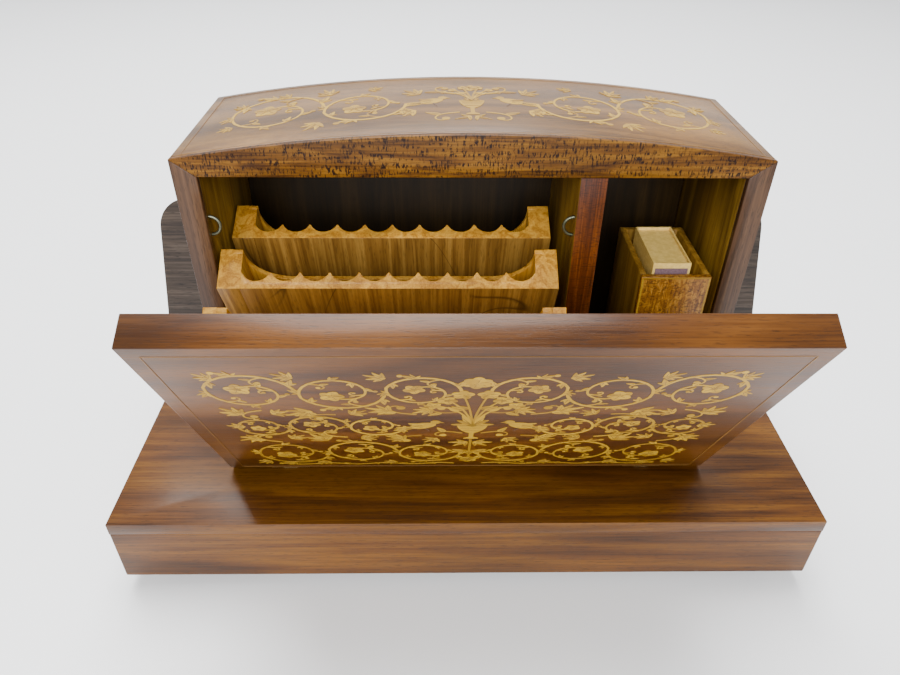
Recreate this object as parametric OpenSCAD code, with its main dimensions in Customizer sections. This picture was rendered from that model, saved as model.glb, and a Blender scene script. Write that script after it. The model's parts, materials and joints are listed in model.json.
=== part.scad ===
// Musical cigarette dispenser: an arched marquetry box on a wide base.
// The fall front swings three fluted cigarette trays forward and starts a small
// cylinder movement that hangs between the base and the tray bay.

/* [Base] */
// Width of the base, left to right
base_w = 250; // [230:1:310]
// Depth of the base, front to back
base_d = 124; // [118:1:160]
// Height of the base without its feet
base_h = 28.2; // [27:0.2:36]
// Thickness of the base's top board
base_top_t = 5; // [4:0.5:7]
// Thickness of the base's rails
base_rail_t = 9; // [6:0.5:12]
// Thickness of the bottom board that carries the movement
base_floor_t = 3; // [2.5:0.5:5]
// Height of the bottom board above the lower edge of the rails
base_floor_z = 7; // [6:0.5:8]
// Diameter of a foot
foot_d = 12; // [8:0.5:18]
// Height of a foot
foot_h = 6; // [4:0.5:12]
// Distance from a foot's centre to the base's side
foot_inset_x = 13; // [11:0.5:20]
// Distance from a foot's centre to the base's front or back
foot_inset_y = 9.7; // [9.5:0.1:16]

/* [Case] */
// Width of the box
case_w = 175; // [172:1:220]
// Depth of the box
case_d = 57; // [56.6:0.2:70]
// Distance from the base's front edge to the box's front
case_y = 33.4; // [32:0.2:36]
// Height of the opening, from the base's top to the roof
opening_h = 112.5; // [110:0.5:140]
// Thickness of a side wall
wall_t = 7.2; // [6:0.2:9]
// Thickness of the divider between the trays and the matches
divider_t = 7.9; // [6:0.1:10]
// Clear width of the match bay
match_bay_w = 41.2; // [34:0.2:44]
// Thickness of the box's back
back_t = 6; // [4:0.5:7]
// Height of the roof's corner above the opening
roof_edge_t = 5.3; // [4:0.1:9]
// Rise of the roof's arch
arch_rise = 7.5; // [4:0.5:14]
// Thickness of the veneered facings on the box's front
facing_t = 2; // [1.2:0.1:3]

/* [Rear board] */
// Width of the rear board
rear_board_w = 259; // [200:1:320]
// Height of the rear board along its slope
rear_board_l = 72; // [50:1:78]
// Thickness of the rear board
rear_board_t = 4; // [3:0.5:5]
// Lean of the rear board from upright
rear_board_lean = 22.5; // [5:0.5:24]
// Radius of the rear board's upper corners
rear_board_r = 12; // [4:1:30]

/* [Door] */
// Thickness of the door
door_t = 9.5; // [9:0.1:11]
// Gap between the closed door's top and the top of the opening
door_gap = 2.5; // [1:0.5:6]
// Angle at which the open door rests
door_open = 28.5; // [20:0.5:30]
// Diameter of a door pivot pin
hinge_pin_d = 2; // [1.6:0.1:2.4]
// Distance from the middle of the door to a hinge
hinge_x = 66; // [50:1:70]

/* [Trays] */
// Clearance between a tray's left end and the wall
tray_gap = 1.1; // [1:0.1:4]
// Clearance between a tray's right end and the divider
tray_play = 4.1; // [1:0.1:6]
// Height of a tray
tray_h = 72; // [64:1:74]
// Thickness of a tray
tray_t = 13.4; // [12.6:0.1:13.6]
// Distance between the trays' pivots
tray_pitch = 15.2; // [15:0.1:15.6]
// Distance from a tray's lower back corner to its pivot, both ways
tray_pivot_in = 2.2; // [2:0.1:2.6]
// Height of the tray pivots above the tray shelf
tray_pivot_lift = 9.2; // [8.9:0.1:11]
// Lean of the rear tray for each degree that the door opens
tray_turn_1 = 0.59; // [0.3:0.005:0.595]
// Lean of the middle tray for each degree that the door opens
tray_turn_2 = 0.88; // [0.5:0.005:0.885]
// Lean of the front tray for each degree that the door opens
tray_turn_3 = 1.207; // [0.7:0.001:1.21]
// Number of flutes in a tray
flute_count = 10; // [6:1:12]
// Depth of a flute
flute_depth = 2.9; // [1.5:0.1:3.4]
// Thickness of a tray's end block
tray_end_t = 7; // [5:0.5:9]
// Thickness of the fluted front plate at its ridges
tray_front_t = 5.5; // [4.6:0.1:6]
// Thickness of a tray's back plate
tray_back_t = 1.5; // [1.2:0.1:2]
// Depth of the dip in a tray's back plate
tray_dip = 15; // [8:0.5:20]
// Slope of a tray's top towards the front, when the tray is upright
tray_top_slope = 9; // [0:1:15]
// Diameter of a tray's pivot pin
tray_pin_d = 2.5; // [2:0.1:3]

/* [Matches] */
// Width of the match holder
holder_w = 22.6; // [19:0.2:28]
// Depth of the match holder
holder_d = 35; // [32:0.5:44]
// Height of the match holder's top above the base
holder_h = 78.5; // [60:0.5:95]
// Wall of the match holder
holder_t = 2; // [1.5:0.1:2.5]
// Clearance between the match holder and the side wall
holder_gap = 2.8; // [1:0.1:8]
// Width of the matchbox
matchbox_w = 12.3; // [10:0.1:15]
// Depth of the matchbox
matchbox_d = 25.5; // [20:0.5:28]
// Length of the matchbox, which stands on end
matchbox_l = 40; // [34:0.5:58]
// Height of the matchbox above the holder
matchbox_proud = 3; // [2:0.5:20]

/* [Movement] */
// Radius of the pinned cylinder
cyl_r = 6.5; // [5.5:0.1:6.8]
// Length of the pinned cylinder
cyl_l = 31; // [26:0.5:31.5]
// Number of comb teeth
comb_teeth = 18; // [12:1:18]

/* [Hidden] */

eps = 0.01;
gap = 0.3; // between pieces that don't touch
run_fit = 0.06; // radial clearance of a running fit
fine = 48;
arc_fine = 240;
tray_count = 3;
cyl_gear_teeth = 36; // turns the governor's pinion
pinion_teeth = 12;
worm_wheel_teeth = 16;
gear_module = 0.4;
crown_teeth = 30; // on the spring barrel
crown_pinion_teeth = 9;

// The box's planes
wall_in = case_w / 2 - wall_t;
case_back = case_y + case_d;
back_in = case_back - back_t;
open_top = base_h + opening_h;
div_r = wall_in - match_bay_w;
div_l = div_r - divider_t;
bay_mid = (div_l - wall_in) / 2;
tray_w = div_l + wall_in - tray_gap - tray_play;
tray_mid = tray_gap + tray_w / 2 - wall_in;
roof_r = (case_w * case_w / 4 + arch_rise * arch_rise) / (2 * arch_rise);
roof_axis_z = open_top + roof_edge_t + arch_rise - roof_r;

// The base
rail_h = base_h - base_top_t;
board_top = base_floor_z + base_floor_t;
well_front = case_y + 7.6;

// The door turns about pins in the middle of its thickness
hinge_y = case_y - door_t / 2;
hinge_z = base_h + door_t / 2 + 0.25;
door_rise = open_top - door_gap - hinge_z;
lug_w = 5;
lug_r = 3.2;
lug_gap = 0.3;

// The trays
shelf_t = 3;
shelf_top = base_h + 12.9;
shelf_bottom = shelf_top - shelf_t;
tray_z = shelf_top + tray_pivot_lift;
tray_1_y = back_in - 1 - tray_pivot_in;
tray_lean = door_open * [tray_turn_1, tray_turn_2, tray_turn_3];
tray_back_y = tray_pivot_in;
tray_front_y = tray_pivot_in - tray_t;
tray_low = -tray_pivot_in;
tray_high = tray_h - tray_pivot_in;
pocket_x = tray_w / 2 - tray_end_t;
flute_pitch = 2 * pocket_x / flute_count;
flute_land = 0.5; // the flat left between two flutes
flute_half = (flute_pitch - flute_land) / 2;
flute_r = (flute_half * flute_half + flute_depth * flute_depth) / (2 * flute_depth);
tray_floor_t = 3;

// The wire staples on the tray bay's walls
eye_d = 1;
eye_r = 3;
eye_y = case_y + 3.3;
eye_z = tray_z + tray_high + eye_r + 0.6;

// The links in the gap beside the trays
link_t = 0.6;
link_pin_d = 1.6;
link_slack = 0.6;
link_w = 5;
link_in_y = -4;
link_12_z = 22;
link_23_z = 31;
link_door_z = 16;
post_out = 5;
door_post_y = door_t / 2 + 3;
door_post_z = 42;

// The movement, from the bedplate up
plate_t = 2;
plate_top = board_top + plate_t;
cyl_y = back_in - 18.4;
cyl_z = plate_top + 9.5;
cyl_x0 = bay_mid - 9;
crown_mod = 11 * 2 / crown_teeth;
pinion_x = cyl_x0 - 2.5;
crown_r = crown_mod * crown_teeth / 2;
barrel_x = pinion_x - crown_r;
crown_pinion_r = crown_mod * crown_pinion_teeth / 2;
crown_pitch_z = cyl_z - crown_pinion_r;
barrel_z0 = plate_top + 0.6;
barrel_z1 = crown_pitch_z - 0.8;
bridge_z = cyl_z + 2.8;
gear_x = cyl_x0 + cyl_l + 2.5;
cyl_gear_r = gear_module * cyl_gear_teeth / 2;
pinion_r = gear_module * pinion_teeth / 2;
gear_arbor_y = cyl_y - cyl_gear_r - pinion_r - 0.05;
worm_wheel_r = gear_module * worm_wheel_teeth / 2;
worm_r = 1.6;
worm_x = gear_x + 6;
worm_y = gear_arbor_y - worm_wheel_r - worm_r - 0.1;
worm_pitch = PI * gear_module;
fan_z = plate_top + 17;
fan_r = 5.5;
plunger_y = tray_1_y - 2 * tray_pitch - 7.2;
plunger_d = 2;
plunger_top = tray_z - 7.95;

// The whole object stands on its feet, centred on its own depth
door_front = hinge_y - door_rise * sin(door_open) - door_t / 2 * cos(door_open);
mid_y = (door_front + base_d) / 2;

// Puts the object on the floor with its box centred on the origin
module stand() { translate([0, -mid_y, foot_h]) children(); }

// A box from its lowest and highest corners
module block(a, b) { translate(a) cube(b - a); }

// A cylinder along X from x0 to x1 about (y, z)
module rod_x(x0, x1, y, z, d) {
    translate([x0, y, z]) rotate([0, 90, 0]) cylinder(d = d, h = x1 - x0, $fn = fine);
}

// A cylinder along Y
module rod_y(y0, y1, x, z, d) {
    translate([x, y0, z]) rotate([-90, 0, 0]) cylinder(d = d, h = y1 - y0, $fn = fine);
}

// A cylinder along Z
module rod_z(z0, z1, x, y, d) {
    translate([x, y, z0]) cylinder(d = d, h = z1 - z0, $fn = fine);
}

// A round-headed wood screw pointing up, its head's top at z
module screw_up(x, y, z, d, l, head_d, head_h) {
    difference() {
        union() {
            rod_z(z, z + head_h, x, y, head_d);
            rod_z(z + head_h - eps, z + l, x, y, d);
        }
        block([x - head_d / 2 - 1, y - 0.3, z - 1], [x + head_d / 2 + 1, y + 0.3, z + head_h * 0.45]);
    }
}

// A screw pointing down, its head's underside at z
module screw_down(x, y, z, d, l, head_d, head_h) {
    translate([x, y, z]) rotate([180, 0, 0]) screw_up(0, 0, -head_h, d, l + head_h, head_d, head_h);
}

// ---- Base ----

screw_points = [for (sx = [-1, 1], sy = [0, 1])
    [sx * (base_w / 2 - base_rail_t - 6), sy == 0 ? base_rail_t + 6 : base_d - base_rail_t - 6]];

// A rail with mitred ends, seen from above
module rail(points) { linear_extrude(rail_h) polygon(points); }

module base_front_rail() {
    w = base_w / 2;
    color("saddlebrown") stand() rail([[-w, 0], [w, 0], [w - base_rail_t, base_rail_t],
        [base_rail_t - w, base_rail_t]]);
}

module base_rear_rail() {
    w = base_w / 2;
    color("saddlebrown") stand() rail([[base_rail_t - w, base_d - base_rail_t],
        [w - base_rail_t, base_d - base_rail_t], [w, base_d], [-w, base_d]]);
}

module base_side_rails() {
    w = base_w / 2;
    color("saddlebrown") stand() for (s = [0, 1]) mirror([s, 0, 0])
        rail([[w - base_rail_t, base_rail_t], [w, 0], [w, base_d],
            [w - base_rail_t, base_d - base_rail_t]]);
}

module base_top_board() {
    color("sienna") stand() difference() {
        block([-base_w / 2, 0, rail_h], [base_w / 2, base_d, base_h]);
        block([barrel_x - 14, well_front, rail_h - 1], [worm_x + 8, back_in, base_h + 1]);
        for (s = [-1, 1]) bracket_screws(s) rod_z(rail_h - 1, base_h + 1, 0, 0, 1.6);
        for (s = [-1, 1]) translate([s * hinge_x, hinge_y, 0])
            block([-7.1, -1.9, base_h - 1.2], [7.1, 4.7, base_h + 1]);
    }
}

module base_bottom_board() {
    x = base_w / 2 - base_rail_t;
    color("burlywood") stand() difference() {
        block([-x, base_rail_t, base_floor_z], [x, base_d - base_rail_t, board_top]);
        rod_z(0, board_top + 1, barrel_x, cyl_y, 9);
        for (p = screw_points) rod_z(0, board_top + 1, p[0], p[1], 2.5);
        for (p = plate_screws) rod_z(0, board_top + 1, p[0], p[1], 2.2);
        for (i = [0 : 4]) rod_z(0, board_top + 1, worm_x + 39 + i * 9, cyl_y, 5);
    }
}

module bottom_screws() {
    color("goldenrod") stand() for (p = screw_points)
        screw_up(p[0], p[1], base_floor_z - 1.4, 2.5, 4.4, 5, 1.4);
}

module feet() {
    x = base_w / 2 - foot_inset_x;
    color("black") stand() for (sx = [-1, 1], y = [foot_inset_y, base_d - foot_inset_y])
        translate([sx * x, y, -foot_h]) rotate_extrude($fn = fine)
            polygon([[0, 0], [foot_d / 2 - 1.5, 0], [foot_d / 2 - 0.4, 0.5], [foot_d / 2, 1.6],
                [foot_d / 2, foot_h], [0, foot_h]]);
}

// ---- Box ----

// The arched outline of the roof between two depths, down to the opening's top
module arch(y0, y1) {
    intersection() {
        block([-case_w / 2, y0, open_top], [case_w / 2, y1, open_top + 60]);
        translate([0, y0, roof_axis_z]) rotate([-90, 0, 0])
            cylinder(r = roof_r, h = y1 - y0, $fn = arc_fine);
    }
}

// The wedge below the mitre at the right end of the fascia
module mitre(s) {
    mirror([s, 0, 0]) translate([0, case_y - 1, 0]) rotate([90, 0, 0]) mirror([0, 0, 1])
        linear_extrude(facing_t + 2) polygon([[wall_in, open_top], [case_w / 2 + 1, open_top],
            [case_w / 2 + 1, open_top + roof_edge_t * (wall_t + 1) / wall_t]]);
}

module roof() { color("peru") stand() arch(case_y + facing_t, case_back); }

module fascia() {
    color("chocolate") stand() difference() {
        arch(case_y, case_y + facing_t);
        for (s = [0, 1]) mitre(s);
    }
}

module front_stiles() {
    color("rosybrown") stand() for (s = [0, 1]) mirror([s, 0, 0])
        translate([0, case_y, 0]) rotate([90, 0, 0]) mirror([0, 0, 1]) linear_extrude(facing_t)
            polygon([[wall_in, base_h], [case_w / 2, base_h], [case_w / 2, open_top + roof_edge_t],
                [wall_in, open_top]]);
}

module wall_blank() {
    block([wall_in, case_y + facing_t, base_h], [case_w / 2, case_back, open_top]);
}

// Pin holes for the trays in the inner face at x, drilled towards s
module tray_holes(x, s) {
    for (i = [0 : tray_count - 1])
        rod_x(min(x, x + s * 4.5) - (s > 0 ? 1 : 0), max(x, x + s * 4.5) + (s < 0 ? 1 : 0),
            tray_1_y - i * tray_pitch, tray_z, tray_pin_d + 2 * run_fit);
}

module eye_holes(x, s) {
    for (dz = [-eye_r, eye_r])
        rod_x(min(x, x + s * 4) - (s > 0 ? 1 : 0), max(x, x + s * 4) + (s < 0 ? 1 : 0),
            eye_y, eye_z + dz, eye_d);
}

module side_wall_left() {
    color("sienna") stand() difference() {
        mirror([1, 0, 0]) wall_blank();
        tray_holes(-wall_in, -1);
        eye_holes(-wall_in, -1);
    }
}

module side_wall_right() { color("sienna") stand() wall_blank(); }

module divider() {
    color("maroon") stand() difference() {
        block([div_l, case_y, base_h], [div_r, back_in, open_top]);
        tray_holes(div_l, 1);
        eye_holes(div_l, 1);
    }
}

module back_panel() {
    color("olive") stand() block([-wall_in, back_in, base_h], [wall_in, case_back, open_top]);
}

// The low rail that closes the movement's bay behind the door
module bay_front() {
    color("sienna") stand()
        block([-wall_in, case_y + 0.6, base_h], [div_l, case_y + 6.6, shelf_bottom]);
}

module tray_shelf() {
    color("olive") stand() difference() {
        block([-wall_in, case_y + 0.6, shelf_bottom], [div_l, back_in, shelf_top]);
        rod_z(shelf_bottom - 1, shelf_top + 1, worm_x, plunger_y, plunger_d + 2 * run_fit);
    }
}

module rear_board() {
    w = rear_board_w / 2;
    r = rear_board_r;
    color("dimgray") stand() difference() {
        translate([0, case_back + 0.3, base_h]) rotate([-rear_board_lean, 0, 0])
            translate([0, rear_board_t, -6]) rotate([90, 0, 0]) linear_extrude(rear_board_t) union() {
                translate([-w, 0]) square([2 * w, rear_board_l + 6 - r]);
                translate([r - w, 0]) square([2 * (w - r), rear_board_l + 6]);
                for (s = [-1, 1]) translate([s * (w - r), rear_board_l + 6 - r]) circle(r, $fn = fine);
            }
        block([-w - 1, case_back - 20, base_h - 30], [w + 1, base_d + 30, base_h]);
    }
}

// Wire staples near the front of the tray bay
module wall_eyes() {
    color("silver") stand() for (e = [[-wall_in, 1], [div_l, -1]]) translate([e[0], eye_y, eye_z]) {
        rotate([90, 0, 0]) rotate([0, 0, e[1] > 0 ? -90 : 90]) rotate_extrude(angle = 180, $fn = fine)
            translate([eye_r, 0]) circle(d = eye_d, $fn = 24);
        for (dz = [-eye_r, eye_r])
            rod_x(e[1] > 0 ? -4 : 0, e[1] > 0 ? 0 : 4, 0, dz, eye_d);
    }
}

// ---- Door ----

// Puts what was drawn about the pivot, upright, where the open door rests
module on_door() {
    stand() translate([0, hinge_y, hinge_z]) rotate([door_open, 0, 0]) children();
}

// Room below the pivot for the lug's stem, of half-thickness h, as the door swings
module lug_slot(h) {
    translate([-lug_w / 2 - lug_gap, 0, 0]) rotate([90, 0, 90]) linear_extrude(lug_w + 2 * lug_gap)
        polygon([[h, 0], [h, -8], turn(-door_open, [-h, -9]), turn(-door_open, [-h, 0])]);
}

module door_panel() {
    color("brown") on_door() difference() {
        union() {
            block([-case_w / 2, -door_t / 2, 0], [case_w / 2, door_t / 2, door_rise]);
            rod_x(-case_w / 2, case_w / 2, 0, 0, door_t);
        }
        for (s = [-1, 1]) translate([s * hinge_x, 0, 0]) {
            rod_x(-lug_w / 2 - lug_gap, lug_w / 2 + lug_gap, 0, 0, 2 * (lug_r + lug_gap));
            lug_slot(1.6 + lug_gap);
            rod_x(-10, 10, 0, 0, hinge_pin_d);
        }
    }
}

module hinge_pins() {
    color("goldenrod") on_door() for (s = [-1, 1])
        rod_x(s * hinge_x - 10, s * hinge_x + 10, 0, 0, hinge_pin_d);
}

// Where the bracket's two screws stand
module bracket_screws(s) {
    for (dx = [-4.8, 4.8]) translate([s * hinge_x + dx, hinge_y + 1.6, 0]) children();
}

module hinge_brackets() {
    color("goldenrod") stand() difference() {
        for (s = [-1, 1]) translate([s * hinge_x, hinge_y, 0]) {
            block([-7, -1.8, base_h - 1.2], [7, 4.6, base_h]);
            block([-lug_w / 2, -1.6, base_h - eps], [lug_w / 2, 1.6, hinge_z]);
            rod_x(-lug_w / 2, lug_w / 2, 0, hinge_z, 2 * lug_r);
        }
        for (s = [-1, 1]) {
            rod_x(s * hinge_x - 5, s * hinge_x + 5, hinge_y, hinge_z, hinge_pin_d + 2 * run_fit);
            bracket_screws(s) rod_z(base_h - 3, base_h + 1, 0, 0, 1.6);
            bracket_screws(s) rod_z(base_h - 0.5, base_h + 1, 0, 0, 3);
        }
    }
}

module hinge_screws() {
    color("darkgoldenrod") stand() for (s = [-1, 1]) bracket_screws(s)
        screw_down(0, 0, base_h - 0.5, 1.6, base_top_t - 1, 2.8, 0.5);
}

// Brass posts behind the door that the front links hook on
module door_posts() {
    color("goldenrod") on_door() for (s = [-1, 1]) translate([tray_mid, 0, 0]) mirror([s > 0 ? 0 : 1, 0, 0]) {
        block([tray_w / 2 - 4, door_t / 2, door_post_z - 3],
            [tray_w / 2, door_t / 2 + post_out, door_post_z + 3]);
        rod_x(tray_w / 2 - eps, tray_w / 2 + 0.95, door_post_y, door_post_z, link_pin_d);
    }
}

// ---- Trays ----

// Puts what was drawn about tray i's pivot, upright, where the open tray rests
module on_tray(i) {
    stand() translate([tray_mid, tray_1_y - (i - 1) * tray_pitch, tray_z])
        rotate([tray_lean[i - 1], 0, 0]) children();
}

// The space above the tray's sloping top
module above_top() {
    translate([0, tray_back_y, tray_high]) rotate([tray_top_slope, 0, 0])
        block([-tray_w, -3 * tray_t, 0], [tray_w, tray_t, 3 * tray_t]);
}

// The tray's outline, with its lower back edge round about the pivot
module tray_outline(x0, x1) {
    block([x0, tray_front_y, tray_low], [x1, 0, tray_high + 1]);
    block([x0, -eps, 0], [x1, tray_back_y, tray_high + 1]);
    rod_x(x0, x1, 0, 0, 2 * tray_pivot_in);
}

module tray_front(i) {
    color("gold") on_tray(i) difference() {
        block([-pocket_x, tray_front_y, tray_low], [pocket_x, tray_front_y + tray_front_t, tray_high + 1]);
        for (k = [0 : flute_count - 1])
            translate([-pocket_x + (k + 0.5) * flute_pitch,
                tray_front_y + tray_front_t - flute_depth + flute_r, tray_low + tray_floor_t])
                cylinder(r = flute_r, h = tray_h + 5, $fn = 96);
        above_top();
    }
}

module tray_ends(i) {
    color("goldenrod") on_tray(i) difference() {
        for (s = [0, 1]) mirror([s, 0, 0]) difference() {
            tray_outline(pocket_x, tray_w / 2);
            block([pocket_x - 1, tray_back_y - tray_back_t, -tray_h],
                [pocket_x + 3, tray_back_y + 1, tray_h + 9]);
            rod_x(pocket_x + 3, tray_w / 2 + 1, 0, 0, tray_pin_d);
            for (z = link_levels(i)) rod_x(tray_w / 2 - 3, tray_w / 2 + 1, link_in_y, z, link_pin_d);
        }
        above_top();
    }
}

// The dip between the end blocks, flat at the bottom with round corners
module back_dip() {
    r = tray_dip - 2;
    translate([0, tray_back_y + 1, tray_high - tray_dip]) rotate([90, 0, 0])
        linear_extrude(tray_back_t + 2) union() {
            translate([r - pocket_x, 0]) square([2 * (pocket_x - r), tray_dip + 2]);
            translate([-pocket_x, r]) square([2 * pocket_x, 4]);
            for (s = [-1, 1]) translate([s * (pocket_x - r), r]) circle(r, $fn = fine);
        }
}

module tray_back(i) {
    color("olive") on_tray(i) difference() {
        block([-pocket_x - 3, tray_back_y - tray_back_t, 0], [pocket_x + 3, tray_back_y, tray_high + 1]);
        back_dip();
        above_top();
    }
}

module tray_floor(i) {
    y0 = tray_front_y + tray_front_t;
    color("olive") on_tray(i) union() {
        block([-pocket_x, y0, tray_low], [pocket_x, 0, tray_low + tray_floor_t]);
        block([-pocket_x, -1, tray_low + 0.5],
            [pocket_x, tray_back_y - tray_back_t, tray_low + tray_floor_t]);
    }
}

function link_levels(i) = i == 1 ? [link_12_z] : i == 2 ? [link_12_z, link_23_z] : [link_23_z, link_door_z];

// Pivot pins and link pins of one tray, with a collar that fills the clearance on the right
module tray_pins(i) {
    color("silver") on_tray(i) for (s = [0, 1]) mirror([s, 0, 0]) {
        rod_x(pocket_x + 3, tray_w / 2 + [tray_play, tray_gap][s] + 4, 0, 0, tray_pin_d);
        if (s == 0) rod_x(tray_w / 2, tray_w / 2 + tray_play - gap, 0, 0, tray_pin_d + 1.5);
        for (z = link_levels(i)) rod_x(tray_w / 2 - 3, tray_w / 2 + 0.95, link_in_y, z, link_pin_d);
    }
}

// ---- Links ----

function turn(a, p) = [p[0] * cos(a) - p[1] * sin(a), p[0] * sin(a) + p[1] * cos(a)];
function tray_point(i, z) =
    [tray_1_y - (i - 1) * tray_pitch, tray_z] + turn(tray_lean[i - 1], [link_in_y, z]);
function door_point(a) = [hinge_y, hinge_z] + turn(a, [door_post_y, door_post_z]);

// A pair of strips that turn on pin a and are slotted for pin b, both [y, z], shut apart when closed
module link_pair(a, b, shut) {
    span = norm(b - a);
    rise = atan2(b[1] - a[1], a[0] - b[0]);
    slot = link_pin_d / 2 + link_slack;
    color("silver") stand() for (x = [tray_mid + tray_w / 2 + 0.25 + link_t, tray_mid - tray_w / 2 - 0.25])
        translate([x, a[0], a[1]]) rotate([90, 0, -90]) rotate([0, 0, rise]) linear_extrude(link_t)
            difference() {
                union() {
                    circle(d = link_w, $fn = fine);
                    translate([0, -link_w / 2]) square([span, link_w]);
                    translate([span, 0]) circle(d = link_w, $fn = fine);
                }
                circle(d = link_pin_d + 2 * run_fit, $fn = fine);
                translate([shut, 0]) circle(r = slot, $fn = fine);
                translate([shut, -slot]) square([span - shut, 2 * slot]);
                translate([span, 0]) circle(r = slot, $fn = fine);
            }
}

module links_12() { link_pair(tray_point(1, link_12_z), tray_point(2, link_12_z), tray_pitch); }

module links_23() { link_pair(tray_point(2, link_23_z), tray_point(3, link_23_z), tray_pitch); }

module door_links() {
    upright_pin = [tray_1_y - 2 * tray_pitch + link_in_y, tray_z + link_door_z];
    link_pair(door_point(door_open), tray_point(3, link_door_z), norm(door_point(0) - upright_pin));
}

// ---- Matches ----

holder_x = wall_in - holder_gap - holder_w / 2;
holder_y0 = case_y + 1;
holder_y1 = holder_y0 + holder_d;
holder_top = base_h + holder_h;
box_bottom = holder_top + matchbox_proud - matchbox_l;
box_x = holder_x - 1;
box_y = holder_y0 + holder_t + 1.6;
sleeve_t = 0.5;
card_t = 0.6;
card_fit = 0.1;

module match_holder() {
    x = holder_w / 2;
    color("olive") stand() translate([holder_x, 0, 0]) difference() {
        block([-x, holder_y0 + holder_t, base_h], [x, holder_y1, holder_top]);
        block([holder_t - x, holder_y0, box_bottom], [x - holder_t, holder_y1 - holder_t, holder_top + 1]);
    }
}

module match_holder_front() {
    color("peru") stand() translate([holder_x, 0, 0])
        block([-holder_w / 2, holder_y0, base_h], [holder_w / 2, holder_y0 + holder_t, holder_top]);
}

module matchbox_sleeve() {
    x = matchbox_w / 2;
    color("tan") stand() translate([box_x, box_y, box_bottom]) difference() {
        block([-x, 0, 0], [x, matchbox_d, matchbox_l]);
        block([sleeve_t - x, sleeve_t, -1], [x - sleeve_t, matchbox_d - sleeve_t, matchbox_l + 1]);
    }
}

module matchbox_drawer() {
    x = matchbox_w / 2 - sleeve_t - card_fit;
    y0 = sleeve_t + card_fit;
    y1 = matchbox_d - y0;
    color("khaki") stand() translate([box_x, box_y, box_bottom]) difference() {
        block([-x, y0, 0.2], [x, y1, matchbox_l - 1]);
        block([card_t - x, y0 + card_t, 0.2 + card_t], [x + 1, y1 - card_t, matchbox_l - 1 - card_t]);
    }
}

// ---- Movement ----

plate_x0 = barrel_x - 13;
plate_x1 = worm_x + 6;
plate_y0 = cyl_y - 23;
plate_y1 = cyl_y + 20;
plate_screws = [for (x = [plate_x0 + 3, plate_x1 - 3], y = [plate_y0 + 2.5, plate_y1 - 3]) [x, y]];
arbor_d = 3;
comb_z = cyl_z - 0.6;
comb_y0 = plate_y0 + 1;
comb_y1 = comb_y0 + 5.4;
comb_pitch = 1.6;
comb_x0 = cyl_x0 + (cyl_l - (comb_teeth - 1) * comb_pitch) / 2;
comb_points = [for (f = [0.12, 0.5, 0.88]) cyl_x0 + cyl_l * f];
pin_h = 0.8;

// A gear's outline: half-thicknesses of a tooth at its root, pitch circle and tip
module gear_outline(n, r, add, ded, root, mid, tip) {
    polygon([for (k = [0 : n - 1], p = [[r - ded, -root], [r, -mid], [r + add, -tip],
        [r + add, tip], [r, mid], [r - ded, root]]) turn(360 * k / n, p)]);
}

// A gear about an axis along X; phase 0 points a tooth up
module gear_x_axis(x0, x1, y, z, phase, n, r, add, ded, root, mid, tip) {
    translate([x1, y, z]) rotate([phase, 0, 0]) rotate([0, -90, 0]) linear_extrude(x1 - x0)
        gear_outline(n, r, add, ded, root, mid, tip);
}

module bedplate() {
    color("silver") stand() difference() {
        block([plate_x0, plate_y0, board_top], [plate_x1, plate_y1, plate_top]);
        rod_z(0, plate_top + 1, barrel_x, cyl_y, arbor_d + 2 * run_fit);
        rod_z(0, plate_top + 1, worm_x, worm_y, 1.2 + 2 * run_fit);
        for (p = plate_screws) rod_z(0, plate_top + 1, p[0], p[1], 2);
    }
}

module movement_screws() {
    color("gray") stand() for (p = plate_screws)
        screw_up(p[0], p[1], base_floor_z - 1.2, 2, plate_top + 0.5 - base_floor_z + 1.2, 4, 1.2);
}

module cylinder_pins() {
    for (i = [0 : comb_teeth - 1], k = [0 : 2])
        translate([comb_x0 + i * comb_pitch, cyl_y, cyl_z]) rotate([120 * k + (i * 47) % 110, 0, 0])
            cylinder(d = 0.5, h = cyl_r + pin_h, $fn = 16);
}

// The drum, its pins, its arbor, the pinion on the crown and the gear that drives the governor
module pinned_cylinder() {
    color("goldenrod") stand() {
        union() {
            rod_x(cyl_x0, cyl_x0 + cyl_l, cyl_y, cyl_z, 2 * cyl_r);
            cylinder_pins();
            rod_x(barrel_x + 3.5, gear_x + 4, cyl_y, cyl_z, 2);
            gear_x_axis(pinion_x - 0.8, pinion_x + 0.8, cyl_y, cyl_z, 180, crown_pinion_teeth,
                crown_pinion_r, 0.6, 0.85, 0.52, 0.46, 0.2);
            gear_x_axis(gear_x - 1, gear_x + 1, cyl_y, cyl_z, 90 + 180 / cyl_gear_teeth,
                cyl_gear_teeth, cyl_gear_r, 0.34, 0.5, 0.38, 0.26, 0.1);
        }
    }
}

// Two posts and a plate over the barrel, with a lug for the cylinder's left end
module barrel_bridge() {
    color("silver") stand() difference() {
        union() {
            for (dy = [-16, 16]) rod_z(plate_top, bridge_z + eps, barrel_x, cyl_y + dy, 4.4);
            block([barrel_x - 5, cyl_y - 18.2, bridge_z], [barrel_x + 6.4, cyl_y + 18.2, bridge_z + 2]);
            block([barrel_x + 4.4, cyl_y - 2.2, cyl_z], [barrel_x + 6.4, cyl_y + 2.2, bridge_z + eps]);
            rod_x(barrel_x + 4.4, barrel_x + 6.4, cyl_y, cyl_z, 4.4);
        }
        rod_z(bridge_z - 1, bridge_z + 3, barrel_x, cyl_y, arbor_d + 2 * run_fit);
        rod_x(barrel_x + 4, barrel_x + 7, cyl_y, cyl_z, 2 + 2 * run_fit);
    }
}

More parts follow.
